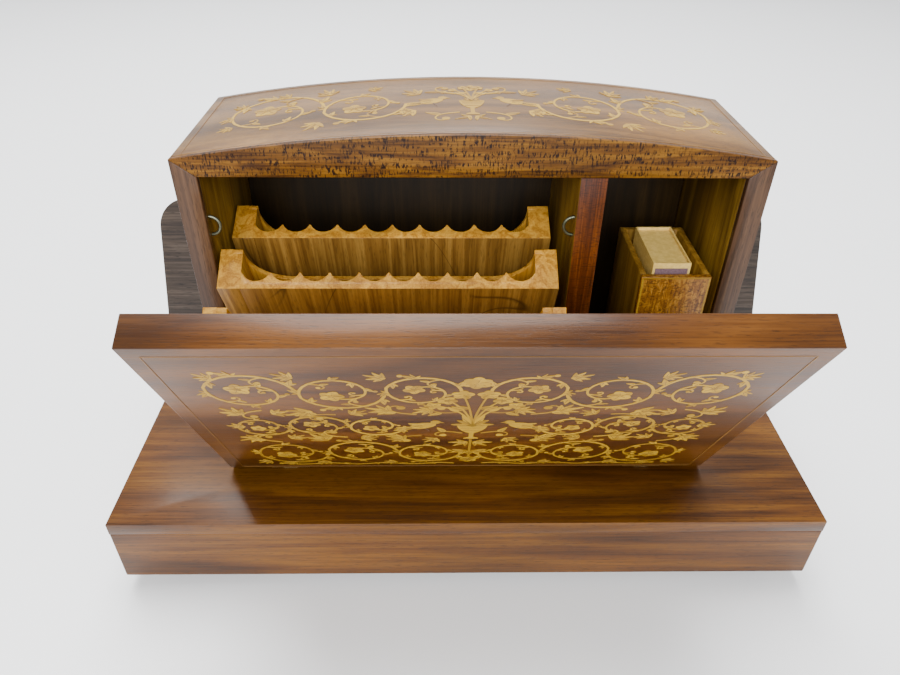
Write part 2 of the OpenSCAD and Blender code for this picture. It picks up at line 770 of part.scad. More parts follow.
module comb() {
    tip = cyl_y - cyl_r - pin_h - 0.2;
    color("lightsteelblue") stand() difference() {
        union() {
            block([cyl_x0, comb_y0, comb_z], [cyl_x0 + cyl_l, comb_y1, comb_z + 1.2]);
            for (i = [0 : comb_teeth - 1]) translate([comb_x0 + i * comb_pitch, 0, 0])
                block([-0.5, comb_y1 - eps, comb_z + 0.3], [0.5, tip, comb_z + 0.9]);
        }
        for (x = comb_points) rod_z(comb_z - 1, comb_z + 2, x, comb_y0 + 2.5, 2);
    }
}

module comb_block() {
    color("silver") stand() difference() {
        block([cyl_x0, comb_y0, plate_top], [cyl_x0 + cyl_l, comb_y1, comb_z]);
        for (x = comb_points) rod_z(comb_z - 5, comb_z + 1, x, comb_y0 + 2.5, 2);
    }
}

module comb_screws() {
    color("gray") stand() for (x = comb_points)
        screw_down(x, comb_y0 + 2.5, comb_z + 1.2, 2, 5, 3.8, 1.2);
}

module barrel() {
    r0 = crown_r - 0.9;
    color("goldenrod") stand() translate([barrel_x, cyl_y, 0]) {
        difference() {
            union() {
                rod_z(barrel_z0, barrel_z1, 0, 0, 2 * (crown_r + 0.9));
                for (k = [0 : crown_teeth - 1]) rotate([0, 0, 360 * (k + 0.5) / crown_teeth])
                    translate([r0, 0, crown_pitch_z]) rotate([90, 0, 90]) linear_extrude(1.8)
                        polygon([[-0.74, -0.9], [0.74, -0.9], [0.48, 0], [0.26, 0.6], [-0.26, 0.6],
                            [-0.48, 0]]);
            }
            rod_z(barrel_z0 - 1, barrel_z1 + 1, 0, 0, arbor_d + 2 * run_fit);
            rod_z(barrel_z0 + 0.8, barrel_z1 - 0.8, 0, 0, 2 * (crown_r - 1));
        }
    }
}

module mainspring() {
    turns = 5;
    r0 = 2.4;
    r1 = crown_r - 1.4;
    n = 24 * turns;
    color("slategray") stand() translate([barrel_x, cyl_y, barrel_z0 + 1])
        linear_extrude(barrel_z1 - barrel_z0 - 2) polygon(concat(
            [for (k = [0 : n]) turn(15 * k, [r0 + (r1 - r0) * k / n, 0])],
            [for (k = [n : -1 : 0]) turn(15 * k, [r0 + 0.35 + (r1 - r0) * k / n, 0])]));
}

module winding_arbor() {
    color("silver") stand() difference() {
        rod_z(-3, bridge_z + 3, barrel_x, cyl_y, arbor_d);
        block([barrel_x - 2, cyl_y - 0.3, bridge_z + 2.3], [barrel_x + 2, cyl_y + 0.3, bridge_z + 4]);
    }
}

// A butterfly key that hangs in the recess under the bottom board
module winding_key() {
    color("gold") stand() translate([barrel_x, cyl_y, 0]) difference() {
        union() {
            rod_z(-4.5, board_top - base_floor_t - 0.6, 0, 0, 7);
            translate([0, 1, 0]) rotate([90, 0, 0]) linear_extrude(2) difference() {
                union() {
                    translate([-9, -5]) square([18, 8]);
                    for (s = [-1, 1]) translate([9 * s, -1]) circle(r = 4, $fn = fine);
                }
                for (s = [-1, 1]) translate([8.5 * s, -1]) circle(r = 2.2, $fn = fine);
            }
        }
        rod_z(-3, 9, 0, 0, arbor_d);
    }
}

// The governor's two side plates, joined by a foot and by the cock over the worm
module governor_frame() {
    xa = gear_x + 1.6;
    xb = worm_x + 3;
    top = plate_top + 14.6;
    color("silver") stand() difference() {
        union() {
            block([xa, cyl_y - 18, plate_top], [xa + 1.8, cyl_y + 4, top]);
            block([xb, cyl_y - 18, plate_top], [xb + 2, cyl_y + 4, top]);
            block([xa, cyl_y - 6, plate_top], [xb + 2, cyl_y + 4, plate_top + 1.8]);
            block([xa, cyl_y - 17.5, top - eps], [xb + 2, cyl_y - 11.5, top + 1.6]);
        }
        rod_x(xa - 1, xa + 3, cyl_y, cyl_z, 2 + 2 * run_fit);
        rod_x(xa - 1, xb + 3, gear_arbor_y, cyl_z, 1.2 + 2 * run_fit);
        rod_z(top - 1, top + 3, worm_x, worm_y, 1.2 + 2 * run_fit);
    }
}

module gear_arbor() {
    color("goldenrod") stand() union() {
        rod_x(gear_x - 1.2, worm_x + 5.4, gear_arbor_y, cyl_z, 1.2);
        gear_x_axis(gear_x - 1, gear_x + 1, gear_arbor_y, cyl_z, -90, pinion_teeth, pinion_r,
            0.34, 0.5, 0.3, 0.24, 0.1);
        gear_x_axis(worm_x - 0.8, worm_x + 0.8, gear_arbor_y, cyl_z, 90, worm_wheel_teeth,
            worm_wheel_r, 0.3, 0.45, 0.3, 0.24, 0.12);
    }
}

// The endless screw with the two-bladed fan on top
module governor_worm() {
    turns = 7;
    steps = 10; // a turn of the thread
    color("silver") stand() translate([worm_x, worm_y, 0]) union() {
        rod_z(board_top + 0.1, fan_z + 3.2, 0, 0, 1.2);
        translate([0, 0, cyl_z - turns * worm_pitch / 2]) rotate([0, 0, 90])
            linear_extrude(turns * worm_pitch, twist = -360 * turns, slices = steps * turns)
                translate([0.4, 0]) circle(r = worm_r, $fn = 16);
        rod_z(fan_z, fan_z + 2.7, 0, 0, 2.6);
        block([-fan_r, -0.2, fan_z], [fan_r, 0.2, fan_z + 2.7]);
    }
}

// A rod that the front tray's floor pushes down, with a finger that holds the fan when it is up
module stop_plunger() {
    z = fan_z - 4.5;
    color("goldenrod") stand() union() {
        rod_z(z, plunger_top - plunger_d / 2, worm_x, plunger_y, plunger_d);
        translate([worm_x, plunger_y, plunger_top - plunger_d / 2]) sphere(d = plunger_d, $fn = fine);
        rod_z(z, z + 1, worm_x, plunger_y, 4);
        block([worm_x - 0.5, plunger_y, z], [worm_x + 0.5, worm_y - fan_r + 1.6, z + 1]);
    }
}

base_front_rail();
base_rear_rail();
base_side_rails();
base_top_board();
base_bottom_board();
bottom_screws();
feet();
side_wall_left();
side_wall_right();
divider();
back_panel();
roof();
fascia();
front_stiles();
bay_front();
tray_shelf();
rear_board();
wall_eyes();
door_panel();
hinge_pins();
hinge_brackets();
hinge_screws();
door_posts();
tray_front(1);  // tray_front_1
tray_ends(1);  // tray_ends_1
tray_back(1);  // tray_back_1
tray_floor(1);  // tray_floor_1
tray_front(2);  // tray_front_2
tray_ends(2);  // tray_ends_2
tray_back(2);  // tray_back_2
tray_floor(2);  // tray_floor_2
tray_front(3);  // tray_front_3
tray_ends(3);  // tray_ends_3
tray_back(3);  // tray_back_3
tray_floor(3);  // tray_floor_3
tray_pins(1);  // tray_pins_1
tray_pins(2);  // tray_pins_2
tray_pins(3);  // tray_pins_3
door_links();
links_23();
links_12();
match_holder();
match_holder_front();
matchbox_sleeve();
matchbox_drawer();
bedplate();
movement_screws();
pinned_cylinder();
barrel_bridge();
comb();
comb_block();
comb_screws();
barrel();
mainspring();
winding_arbor();
winding_key();
governor_frame();
gear_arbor();
governor_worm();
stop_plunger();
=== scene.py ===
"""The looks of a musical cigarette dispenser.

An arched marquetry box stands on a wide walnut base. Its fall front swings three fluted trays
forward, a match holder fills the bay beside them, and a small cylinder movement sits underneath.
"""

import json
import logging
import math
from collections.abc import Callable, Iterable, Sequence
from dataclasses import dataclass, field, replace
from enum import Enum

import bmesh
import bpy
from mathutils import Matrix, Vector

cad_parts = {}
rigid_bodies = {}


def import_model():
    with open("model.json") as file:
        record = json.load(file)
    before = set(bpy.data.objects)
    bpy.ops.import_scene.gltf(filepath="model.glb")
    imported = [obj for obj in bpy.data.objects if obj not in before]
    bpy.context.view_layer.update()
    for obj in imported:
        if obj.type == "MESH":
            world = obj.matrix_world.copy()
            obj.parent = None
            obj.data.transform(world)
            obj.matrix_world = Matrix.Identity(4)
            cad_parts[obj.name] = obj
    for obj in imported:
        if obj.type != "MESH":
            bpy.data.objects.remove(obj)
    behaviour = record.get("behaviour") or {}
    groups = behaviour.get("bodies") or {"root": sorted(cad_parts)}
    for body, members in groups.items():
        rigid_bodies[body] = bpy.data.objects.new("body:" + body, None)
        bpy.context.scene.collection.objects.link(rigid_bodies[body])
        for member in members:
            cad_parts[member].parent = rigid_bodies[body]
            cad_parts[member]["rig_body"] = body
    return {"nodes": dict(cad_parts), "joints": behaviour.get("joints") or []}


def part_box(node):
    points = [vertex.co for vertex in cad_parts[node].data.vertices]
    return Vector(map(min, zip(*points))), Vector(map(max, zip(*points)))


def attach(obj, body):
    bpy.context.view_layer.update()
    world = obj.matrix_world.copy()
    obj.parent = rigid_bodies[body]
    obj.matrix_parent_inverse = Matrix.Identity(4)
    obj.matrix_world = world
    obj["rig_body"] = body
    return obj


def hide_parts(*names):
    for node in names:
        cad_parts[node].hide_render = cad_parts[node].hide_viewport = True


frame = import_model()

log = logging.getLogger("dispenser")
MM = 0.001
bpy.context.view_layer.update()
Colour = tuple[float, float, float]
Material = bpy.types.Material
Socket = bpy.types.NodeSocket
Vert = bmesh.types.BMVert
FORWARD = Vector((0, -1, 0))
BACKWARD = Vector((0, 1, 0))
LEFT = Vector((-1, 0, 0))
RIGHT = Vector((1, 0, 0))
UPWARD = Vector((0, 0, 1))


# ---- Frames of the leaning parts ----


@dataclass(frozen=True)
class Upright:
    """The frame in which a leaning part was drawn upright, about its own pivot."""

    pivot: Vector
    angle: float

    @classmethod
    def of_joint(cls, name: str) -> "Upright":
        """Reads a joint whose travel closes the part from where it rests.

        Args:
            name: The joint's name in the frame.

        Returns:
            The frame about that joint's pivot.
        """
        joint = next(j for j in frame["joints"] if j["name"] == name)
        return cls(Vector(joint["pos_m"]), math.radians(max(joint["range_deg"])))

    def matrix(self) -> Matrix:
        """Carries what was drawn upright to where the part rests."""
        return Matrix.Translation(self.pivot) @ Matrix.Rotation(self.angle, 4, "X")

    def turned(self, direction: Vector) -> Vector:
        """Turns a direction of the upright part to how it rests."""
        return self.matrix().to_3x3() @ direction


STANDING = Upright(Vector(), 0.0)


# ---- Finishes ----


class Grain(Enum):
    """The way a board's grain runs, by axis."""

    ACROSS = 0
    DEEP = 1
    UP = 2

    def stretch(self, length: float, width: float) -> Vector:
        """Feature sizes along X, Y and Z, long with the grain and narrow across it.

        Args:
            length: The size with the grain, in millimetres.
            width: The size across it, in millimetres.

        Returns:
            The three sizes in metres.
        """
        return Vector([(length if axis == self.value else width) * MM for axis in range(3)])


class Graph:
    """A material's node tree, built one node at a time."""

    SEED_STEP = Vector((0.31, 0.17, 0.23))

    def __init__(self, name: str) -> None:
        """Starts an empty material with that name."""
        self.material = bpy.data.materials.new(name)
        self.material.use_nodes = True
        self.tree = self.material.node_tree
        self.tree.nodes.clear()

    def node(self, kind: str, sockets: dict | None = None, **settings: object) -> bpy.types.Node:
        """Adds a node.

        Args:
            kind: The node's type, without its ShaderNode prefix.
            sockets: Values or sockets for its inputs, by name or number.
            settings: Its properties.

        Returns:
            The node.
        """
        made = self.tree.nodes.new("ShaderNode" + kind)
        for key, value in settings.items():
            setattr(made, key, value)
        for key, value in (sockets or {}).items():
            if isinstance(value, Socket):
                self.tree.links.new(value, made.inputs[key])
            else:
                made.inputs[key].default_value = value
        return made

    def noise(
        self, place: Upright, size: Vector, detail: float = 3, warp: float = 0, seed: float = 0
    ) -> Socket:
        """Noise in a part's own frame.

        Args:
            place: The part's frame.
            size: The features' sizes along that frame's axes, in metres.
            detail: How many finer layers it has.
            warp: How far it folds over itself.
            seed: Moves to another stretch of the noise.

        Returns:
            The noise's value, about 0.25 to 0.75.
        """
        coords = self.node("TexCoord").outputs["Object"]
        shift = place.pivot + self.SEED_STEP * seed
        turn = (place.angle, 0, 0)
        sockets = {"Vector": coords, "Location": shift, "Rotation": turn, "Scale": size}
        mapped = self.node("Mapping", sockets, vector_type="TEXTURE").outputs["Vector"]
        sockets = {"Vector": mapped, "Scale": 1.0, "Detail": detail, "Distortion": warp}
        return self.node("TexNoise", sockets).outputs["Fac"]

    def math(self, operation: str, a: object, b: object = 0.0) -> Socket:
        """The result of a Math node."""
        return self.node("Math", {0: a, 1: b}, operation=operation).outputs[0]

    def spread(self, value: Socket, low: float, high: float, top: float = 1.0) -> Socket:
        """Maps low to high onto 0 to top, and holds it there."""
        sockets = {"Value": value, "From Min": low, "From Max": high, "To Min": 0.0, "To Max": top}
        return self.node("MapRange", sockets, clamp=True).outputs["Result"]

    def mix(self, share: object, a: object, b: object, blend: str = "MIX") -> Socket:
        """Mixes two colours, given as sockets or as red, green and blue."""
        a, b = ((*c, 1.0) if isinstance(c, tuple) else c for c in (a, b))
        mixer = self.node("Mix", {0: share, 6: a, 7: b}, data_type="RGBA", blend_type=blend)
        return mixer.outputs[2]

    def ramp(self, value: Socket, stops: Sequence[tuple[float, Colour]]) -> Socket:
        """A colour ramp through the given stops."""
        made = self.node("ValToRGB", {"Fac": value})
        while len(made.color_ramp.elements) < len(stops):
            made.color_ramp.elements.new(0.5)
        for element, (at, colour) in zip(made.color_ramp.elements, stops):
            element.position = at
            element.color = (*colour, 1.0)
        return made.outputs["Color"]

    def close(
        self, height: Socket | None = None, depth: float = 0.03, **sockets: object
    ) -> Material:
        """Ends the tree in a Principled shader.

        Args:
            height: The bump's height, if there is one.
            depth: The bump's depth in millimetres.
            sockets: The shader's inputs, with underscores for spaces.

        Returns:
            The finished material.
        """
        inputs = {key.replace("_", " "): value for key, value in sockets.items()}
        if height is not None:
            bump = self.node("Bump", {"Height": height, "Strength": 1.0, "Distance": depth * MM})
            inputs["Normal"] = bump.outputs["Normal"]
        if isinstance(inputs["Base Color"], tuple):
            inputs["Base Color"] = (*inputs["Base Color"], 1.0)
        shader = self.node("BsdfPrincipled", inputs)
        self.node("OutputMaterial", {"Surface": shader.outputs["BSDF"]})
        return self.material


@dataclass(frozen=True)
class Wood:
    """A board or a veneer. Sizes are in millimetres, and pairs run with and across the grain."""

    name: str
    slot: str
    dark: Colour
    mid: Colour
    light: Colour
    grain: Grain = Grain.ACROSS
    figure: tuple[float, float] = (190, 24)
    rings: float = 7
    ring_share: float = 0.5
    pores: float = 0.45
    ticks: float = 0
    tick_size: Vector = field(default_factory=lambda: Vector((0.45, 1.5, 1.5)))
    veins: float = 0
    roughness: float = 0.38
    shine: float = 0.25
    coat: float = 0.14
    seed: float = 0

    FIBRE = (26, 0.55)
    CLOUD = (60, 22)
    PORE = (3.6, 0.3)
    TICK_ROW = Vector((7, 0.9, 0.9))
    VEIN = Vector((46, 30, 60))
    VEIN_GATE = Vector((30, 30, 30))
    CLOUD_SHADES = ((0.72,) * 3, (1.2,) * 3)
    PORE_SHADE = 0.3
    COAT_ROUGHNESS = 0.17

    def material(self, place: Upright = STANDING, tag: str = "") -> Material:
        """Makes the finish for a part.

        Args:
            place: The part's own frame, so that the grain leans with it.
            tag: What to add to the material's name.

        Returns:
            The material.
        """
        graph = Graph(self.name + tag)
        long, wide = self.figure
        figure = graph.noise(place, self.grain.stretch(long, wide), 2, 0.7, self.seed)
        rings = graph.math("PINGPONG", graph.math("MULTIPLY", figure, self.rings), 1.0)
        fibre = graph.noise(place, self.grain.stretch(*self.FIBRE), 4, 0.2, self.seed + 1)
        tone = graph.math("ADD", graph.math("MULTIPLY", rings, self.ring_share), fibre)
        tone = graph.spread(tone, 0.35, 0.65 + self.ring_share)
        colour = graph.ramp(tone, [(0.0, self.dark), (0.5, self.mid), (1.0, self.light)])
        cloud = graph.noise(place, self.grain.stretch(*self.CLOUD), 2, 0.4, self.seed + 2)
        shade = graph.ramp(graph.spread(cloud, 0.3, 0.7), list(enumerate(self.CLOUD_SHADES)))
        colour = graph.mix(1.0, colour, shade, "MULTIPLY")
        pore = graph.noise(place, self.grain.stretch(*self.PORE), 1, 0, self.seed + 3)
        pore = graph.spread(pore, 0.58, 0.68, self.pores)
        deep = tuple(c * self.PORE_SHADE for c in self.dark)
        colour = graph.mix(pore, colour, deep)
        if self.ticks:
            colour = graph.mix(self.tick_marks(graph, place), colour, deep)
        if self.veins:
            colour = graph.mix(self.dark_veins(graph, place), colour, deep)
        height = graph.math("SUBTRACT", graph.math("MULTIPLY", fibre, 0.4), pore)
        gloss = graph.spread(fibre, 0.2, 0.8, 0.12)
        gloss = graph.math("ADD", gloss, self.roughness - 0.06)
        return graph.close(
            height, Base_Color=colour, Roughness=gloss, Specular_IOR_Level=self.shine,
            Coat_Weight=self.coat, Coat_Roughness=self.COAT_ROUGHNESS,
        )

    def tick_marks(self, graph: Graph, place: Upright) -> Socket:
        """Short dark dashes across the grain, in broken rows."""
        dash = graph.noise(place, self.tick_size * MM, 2, 0.3, self.seed + 4)
        row = graph.noise(place, self.TICK_ROW * MM, 1, 0, self.seed + 5)
        dash = graph.spread(dash, 0.5, 0.6, self.ticks)
        return graph.math("MULTIPLY", dash, graph.spread(row, 0.32, 0.55))

    def dark_veins(self, graph: Graph, place: Upright) -> Socket:
        """Thin dark lines that wander down the veneer."""
        level = graph.noise(place, self.VEIN * MM, 1, 0.9, self.seed + 6)
        away = graph.math("ABSOLUTE", graph.math("SUBTRACT", level, 0.47))
        line = graph.math("SUBTRACT", 1.0, graph.spread(away, 0.0, 0.008))
        gate = graph.noise(place, self.VEIN_GATE * MM, 0, 0, self.seed + 7)
        return graph.math("MULTIPLY", line, graph.spread(gate, 0.45, 0.6, self.veins))


@dataclass(frozen=True)
class Metal:
    """A bare or tarnished metal."""

    name: str
    colour: Colour
    dull: Colour
    roughness: float = 0.3

    def material(self) -> Material:
        """Makes the finish, clouded with tarnish and finely brushed."""
        graph = Graph(self.name)
        cloud = graph.noise(STANDING, Vector((2, 2, 2)) * MM, 4, 0.5)
        brush = graph.noise(STANDING, Vector((3, 0.08, 0.08)) * MM, 2)
        colour = graph.mix(graph.spread(cloud, 0.4, 0.7), self.colour, self.dull)
        gloss = graph.math("ADD", graph.spread(cloud, 0.3, 0.8, 0.2), self.roughness)
        return graph.close(brush, 0.004, Base_Color=colour, Roughness=gloss, Metallic=1.0)


@dataclass(frozen=True)
class Card:
    """A plain finish with a faint mottle."""

    name: str
    colour: Colour
    mottle: Colour
    roughness: float = 0.6
    size: float = 1.2

    def material(self) -> Material:
        """Makes the finish."""
        graph = Graph(self.name)
        spot = graph.noise(STANDING, Vector((1, 1, 1)) * self.size * MM, 4, 0.3)
        colour = graph.mix(graph.spread(spot, 0.35, 0.65), self.colour, self.mottle)
        return graph.close(spot, 0.02, Base_Color=colour, Roughness=self.roughness)


@dataclass(frozen=True)
class InlayWood:
    """Light veneer let into the ground, each shape of a slightly other tone."""

    name: str
    deep: Colour = (0.2, 0.1, 0.004)
    light: Colour = (0.43, 0.255, 0.016)

    def material(self, place: Upright = STANDING) -> Material:
        """Makes the finish from the tone that each shape carries."""
        graph = Graph(self.name)
        tone = graph.node("Attribute", attribute_name="tone").outputs["Fac"]
        fibre = graph.noise(place, Vector((9, 0.35, 0.35)) * MM, 3)
        tone = graph.math("ADD", tone, graph.spread(fibre, 0.3, 0.7, 0.5))
        colour = graph.ramp(graph.spread(tone, 0.0, 1.4), [(0, self.deep), (1, self.light)])
        return graph.close(
            fibre, 0.01, Base_Color=colour, Roughness=0.4, Specular_IOR_Level=0.25, Coat_Weight=0.1,
        )


WALNUT = Wood(
    "walnut", "walnut", (0.028, 0.008, 0.001), (0.067, 0.021, 0.001), (0.108, 0.037, 0.003),
)
BASE_WALNUT = Wood(
    "base_walnut", "walnut", (0.033, 0.01, 0.001), (0.079, 0.026, 0.002), (0.136, 0.052, 0.003),
    figure=(230, 17), seed=3.1,
)
# A lighter copy of the walnut for the roof. The lighter colour is a painted sheen for the light's hazy
# reflection on its top; its shine and coat give real gloss.
ROOF_WALNUT_PAINTED_SHEEN = Wood(
    "roof_walnut_painted_sheen", "walnut", (0.06, 0.025, 0.005), (0.135, 0.062, 0.012), (0.21, 0.105, 0.022),
    shine=0.3, coat=0.16, seed=5.2,
)
FASCIA = Wood(
    "fascia_veneer", "fascia_veneer",
    (0.035, 0.011, 0.001), (0.11, 0.042, 0.003), (0.19, 0.082, 0.006),
    figure=(40, 5), ticks=1.0, pores=0.35, shine=0.12, coat=0.05, seed=1.4,
)
STILE = Wood(
    "stile_veneer", "stile_veneer", (0.029, 0.011, 0.004), (0.057, 0.025, 0.01), (0.091, 0.043, 0.017),
    grain=Grain.UP, figure=(120, 4), seed=2.2,
)
ROSEWOOD = Wood(
    "rosewood", "rosewood", (0.028, 0.005, 0), (0.075, 0.015, 0), (0.14, 0.033, 0.001),
    grain=Grain.UP, figure=(60, 3), ticks=0.5, tick_size=Vector((1.4, 1.4, 0.4)), seed=2.9,
)
LINING = Wood(
    "lining", "lining", (0.069, 0.034, 0.003), (0.151, 0.079, 0.007), (0.25, 0.145, 0.014),
    grain=Grain.UP, figure=(120, 9), pores=0.3, roughness=0.5, coat=0.05, seed=4.4,
)
# A far darker copy of the lining: painted shade for the roof's shadow on the back wall of the bay.
PAINTED_SHADE_LINING = replace(
    LINING, name="lining_painted_shade",
    dark=(0.006, 0.003, 0), mid=(0.013, 0.006, 0), light=(0.022, 0.011, 0.001),
)
# A much lighter copy of the lining for the match holder's sides: painted light for its lit left side.
HOLDER_SIDE_PAINTED_LIGHT = replace(
    LINING, name="holder_side_painted_light",
    dark=(0.12, 0.055, 0.004), mid=(0.22, 0.11, 0.012), light=(0.32, 0.18, 0.025),
)
TRAY_CORE = Wood(
    "tray_core", "tray_core", (0.292, 0.114, 0.008), (0.507, 0.237, 0.022), (0.663, 0.358, 0.045),
    grain=Grain.UP, figure=(90, 5), pores=0.2, roughness=0.45, coat=0.15, seed=6.1,
)
TRAY_FACE = Wood(
    "tray_face", "tray_face", (0.121, 0.053, 0.009), (0.218, 0.107, 0.018), (0.305, 0.164, 0.032),
    grain=Grain.UP, figure=(150, 4), pores=0.35, veins=0.8, seed=7.3,
)
STAINED = Wood(
    "stained_board", "stained_board",
    (0.011, 0.007, 0.006), (0.032, 0.021, 0.014), (0.062, 0.044, 0.032),
    figure=(90, 3.5), pores=0.6, roughness=0.5, coat=0.1, seed=8.5,
)
PLAIN_BOARD = Wood(
    "board", "board", (0.175, 0.1, 0.041), (0.25, 0.155, 0.068), (0.31, 0.21, 0.099),
    pores=0.2, roughness=0.6, coat=0.0, seed=9.7,
)
HOLDER = Wood(
    "holder_veneer", "holder_veneer",
    (0.088, 0.028, 0.003), (0.215, 0.084, 0.007), (0.369, 0.173, 0.018),
    grain=Grain.UP, figure=(5, 2), ticks=0.6, tick_size=Vector((0.9, 1, 0.5)), seed=1.9,
)
CHIP = Wood(
    "veneer_chip", "walnut", (0.1, 0.036, 0.009), (0.17, 0.063, 0.015), (0.21, 0.09, 0.024), seed=0.4,
)
BRASS = Metal("brass", (0.62, 0.42, 0.16), (0.36, 0.23, 0.09))
STEEL = Metal("steel", (0.55, 0.55, 0.54), (0.34, 0.33, 0.31))
SPRING_STEEL = Metal("spring_steel", (0.3, 0.33, 0.38), (0.2, 0.2, 0.24), 0.25)
OLD_WIRE = Metal("old_wire", (0.2, 0.21, 0.15), (0.07, 0.08, 0.045), 0.4)
CARD = Card("card", (0.7, 0.47, 0.11), (0.82, 0.58, 0.17))
STRIKER = Card("striker", (0.11, 0.06, 0.075), (0.2, 0.12, 0.14), 0.8, 0.3)
EBONISED = Card("ebonised", (0.012, 0.011, 0.011), (0.03, 0.028, 0.027), 0.4)
INK = Card("inlay_line", (0.05, 0.02, 0.008), (0.09, 0.04, 0.015), 0.5)
MARQUETRY = InlayWood("marquetry")
STRINGING = InlayWood("stringing", (0.12, 0.05, 0.01), (0.2, 0.1, 0.02))


# ---- Making pieces ----

WELD = 0.002 * MM
COPLANAR = math.radians(0.5)
SMOOTH = math.radians(32)


@dataclass(frozen=True)
class Skin:
    """A finish for those faces of a piece that look one way."""

    finish: Material
    facing: Vector
    within: float = 0.7


def finish_piece(
    shape: bmesh.types.BMesh, name: str, body: str,
    materials: Iterable[Material], replaces: Sequence[str] = (),
) -> bpy.types.Object:
    """Turns a bmesh into a piece of the object and reports it.

    Args:
        shape: The mesh, in metres, where the piece rests. It is freed.
        name: The piece's name.
        body: The CAD body it rides on.
        materials: Its materials, in the order of its faces' numbers.
        replaces: The CAD nodes it stands for.

    Returns:
        The piece.
    """
    mesh = bpy.data.meshes.new(name)
    shape.to_mesh(mesh)
    shape.free()
    for material in materials:
        mesh.materials.append(material)
    mesh.shade_smooth()
    mesh.set_sharp_from_angle(angle=SMOOTH)
    piece = bpy.data.objects.new(name, mesh)
    bpy.context.scene.collection.objects.link(piece)
    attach(piece, body)
    if replaces:
        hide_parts(*replaces)
    log.info("%s rides on %s with %d faces", name, body, len(mesh.polygons))
    return piece


def body_of_node(node: str) -> str:
    """The name of the body that a CAD node belongs to."""
    return frame["nodes"][node]["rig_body"]


def merged_copy(node: str) -> bmesh.types.BMesh:
    """Copies a CAD node's mesh, with its loose triangles merged into whole faces."""
    shape = bmesh.new()
    shape.from_mesh(frame["nodes"][node].data)
    bmesh.ops.remove_doubles(shape, verts=shape.verts[:], dist=WELD)
    verts, edges = shape.verts[:], shape.edges[:]
    bmesh.ops.dissolve_limit(shape, angle_limit=COPLANAR, verts=verts, edges=edges)
    return shape


def verts_in(geometry: Iterable[object]) -> list[Vert]:
    """Picks the vertices out of what a bmesh operator made."""
    return [item for item in geometry if isinstance(item, Vert)]


def soften(shape: bmesh.types.BMesh, arris: float, sharp: float = 35) -> None:
    """Rounds a shape's sharp edges.

    Args:
        shape: The mesh to soften.
        arris: How far back each edge is taken, in millimetres.
        sharp: The least angle, in degrees, between the faces of an edge that is softened.
    """
    least = math.radians(sharp)
    edges = [e for e in shape.edges if e.is_manifold and e.calc_face_angle(0) > least]
    bmesh.ops.bevel(
        shape, geom=edges, offset=arris * MM, offset_type="OFFSET", affect="EDGES",
        segments=2, profile=0.5, material=-1, clamp_overlap=True,
    )


@dataclass
class Board:
    """A wooden piece cut as its CAD node is, with its arrises taken off."""

    node: str
    wood: Wood
    place: Upright = STANDING
    arris: float = 0.35
    skins: Sequence[Skin] = ()

    def build(self) -> bpy.types.Object:
        """Makes the board, with each skin on the faces that look its way."""
        shape = merged_copy(self.node)
        soften(shape, self.arris)
        shape.normal_update()
        for face in shape.faces:
            for number, skin in enumerate(self.skins, 1):
                if face.normal.dot(skin.facing) > skin.within:
                    face.material_index = number
        materials = [self.wood.material(self.place, "_" + self.node)]
        materials += [skin.finish for skin in self.skins]
        name = self.node + "_board"
        body = body_of_node(self.node)
        return finish_piece(shape, name, body, materials, [self.node])


def dress(nodes: Iterable[str], material: Material) -> None:
    """Gives CAD nodes that stay as they are a finish."""
    for name in nodes:
        mesh = frame["nodes"][name].data
        mesh.materials.clear()
        mesh.materials.append(material)
        log.info("%s is dressed in %s", name, material.name)


# ---- Marquetry ----


def flat(x: float, y: float) -> Vector:
    """A point or a step in the plane of a drawing."""
    return Vector((x, y, 0))


def polar(angle: float, length: float = 1.0) -> Vector:
    """A flat vector of that length at that angle."""
    return flat(math.cos(angle), math.sin(angle)) * length


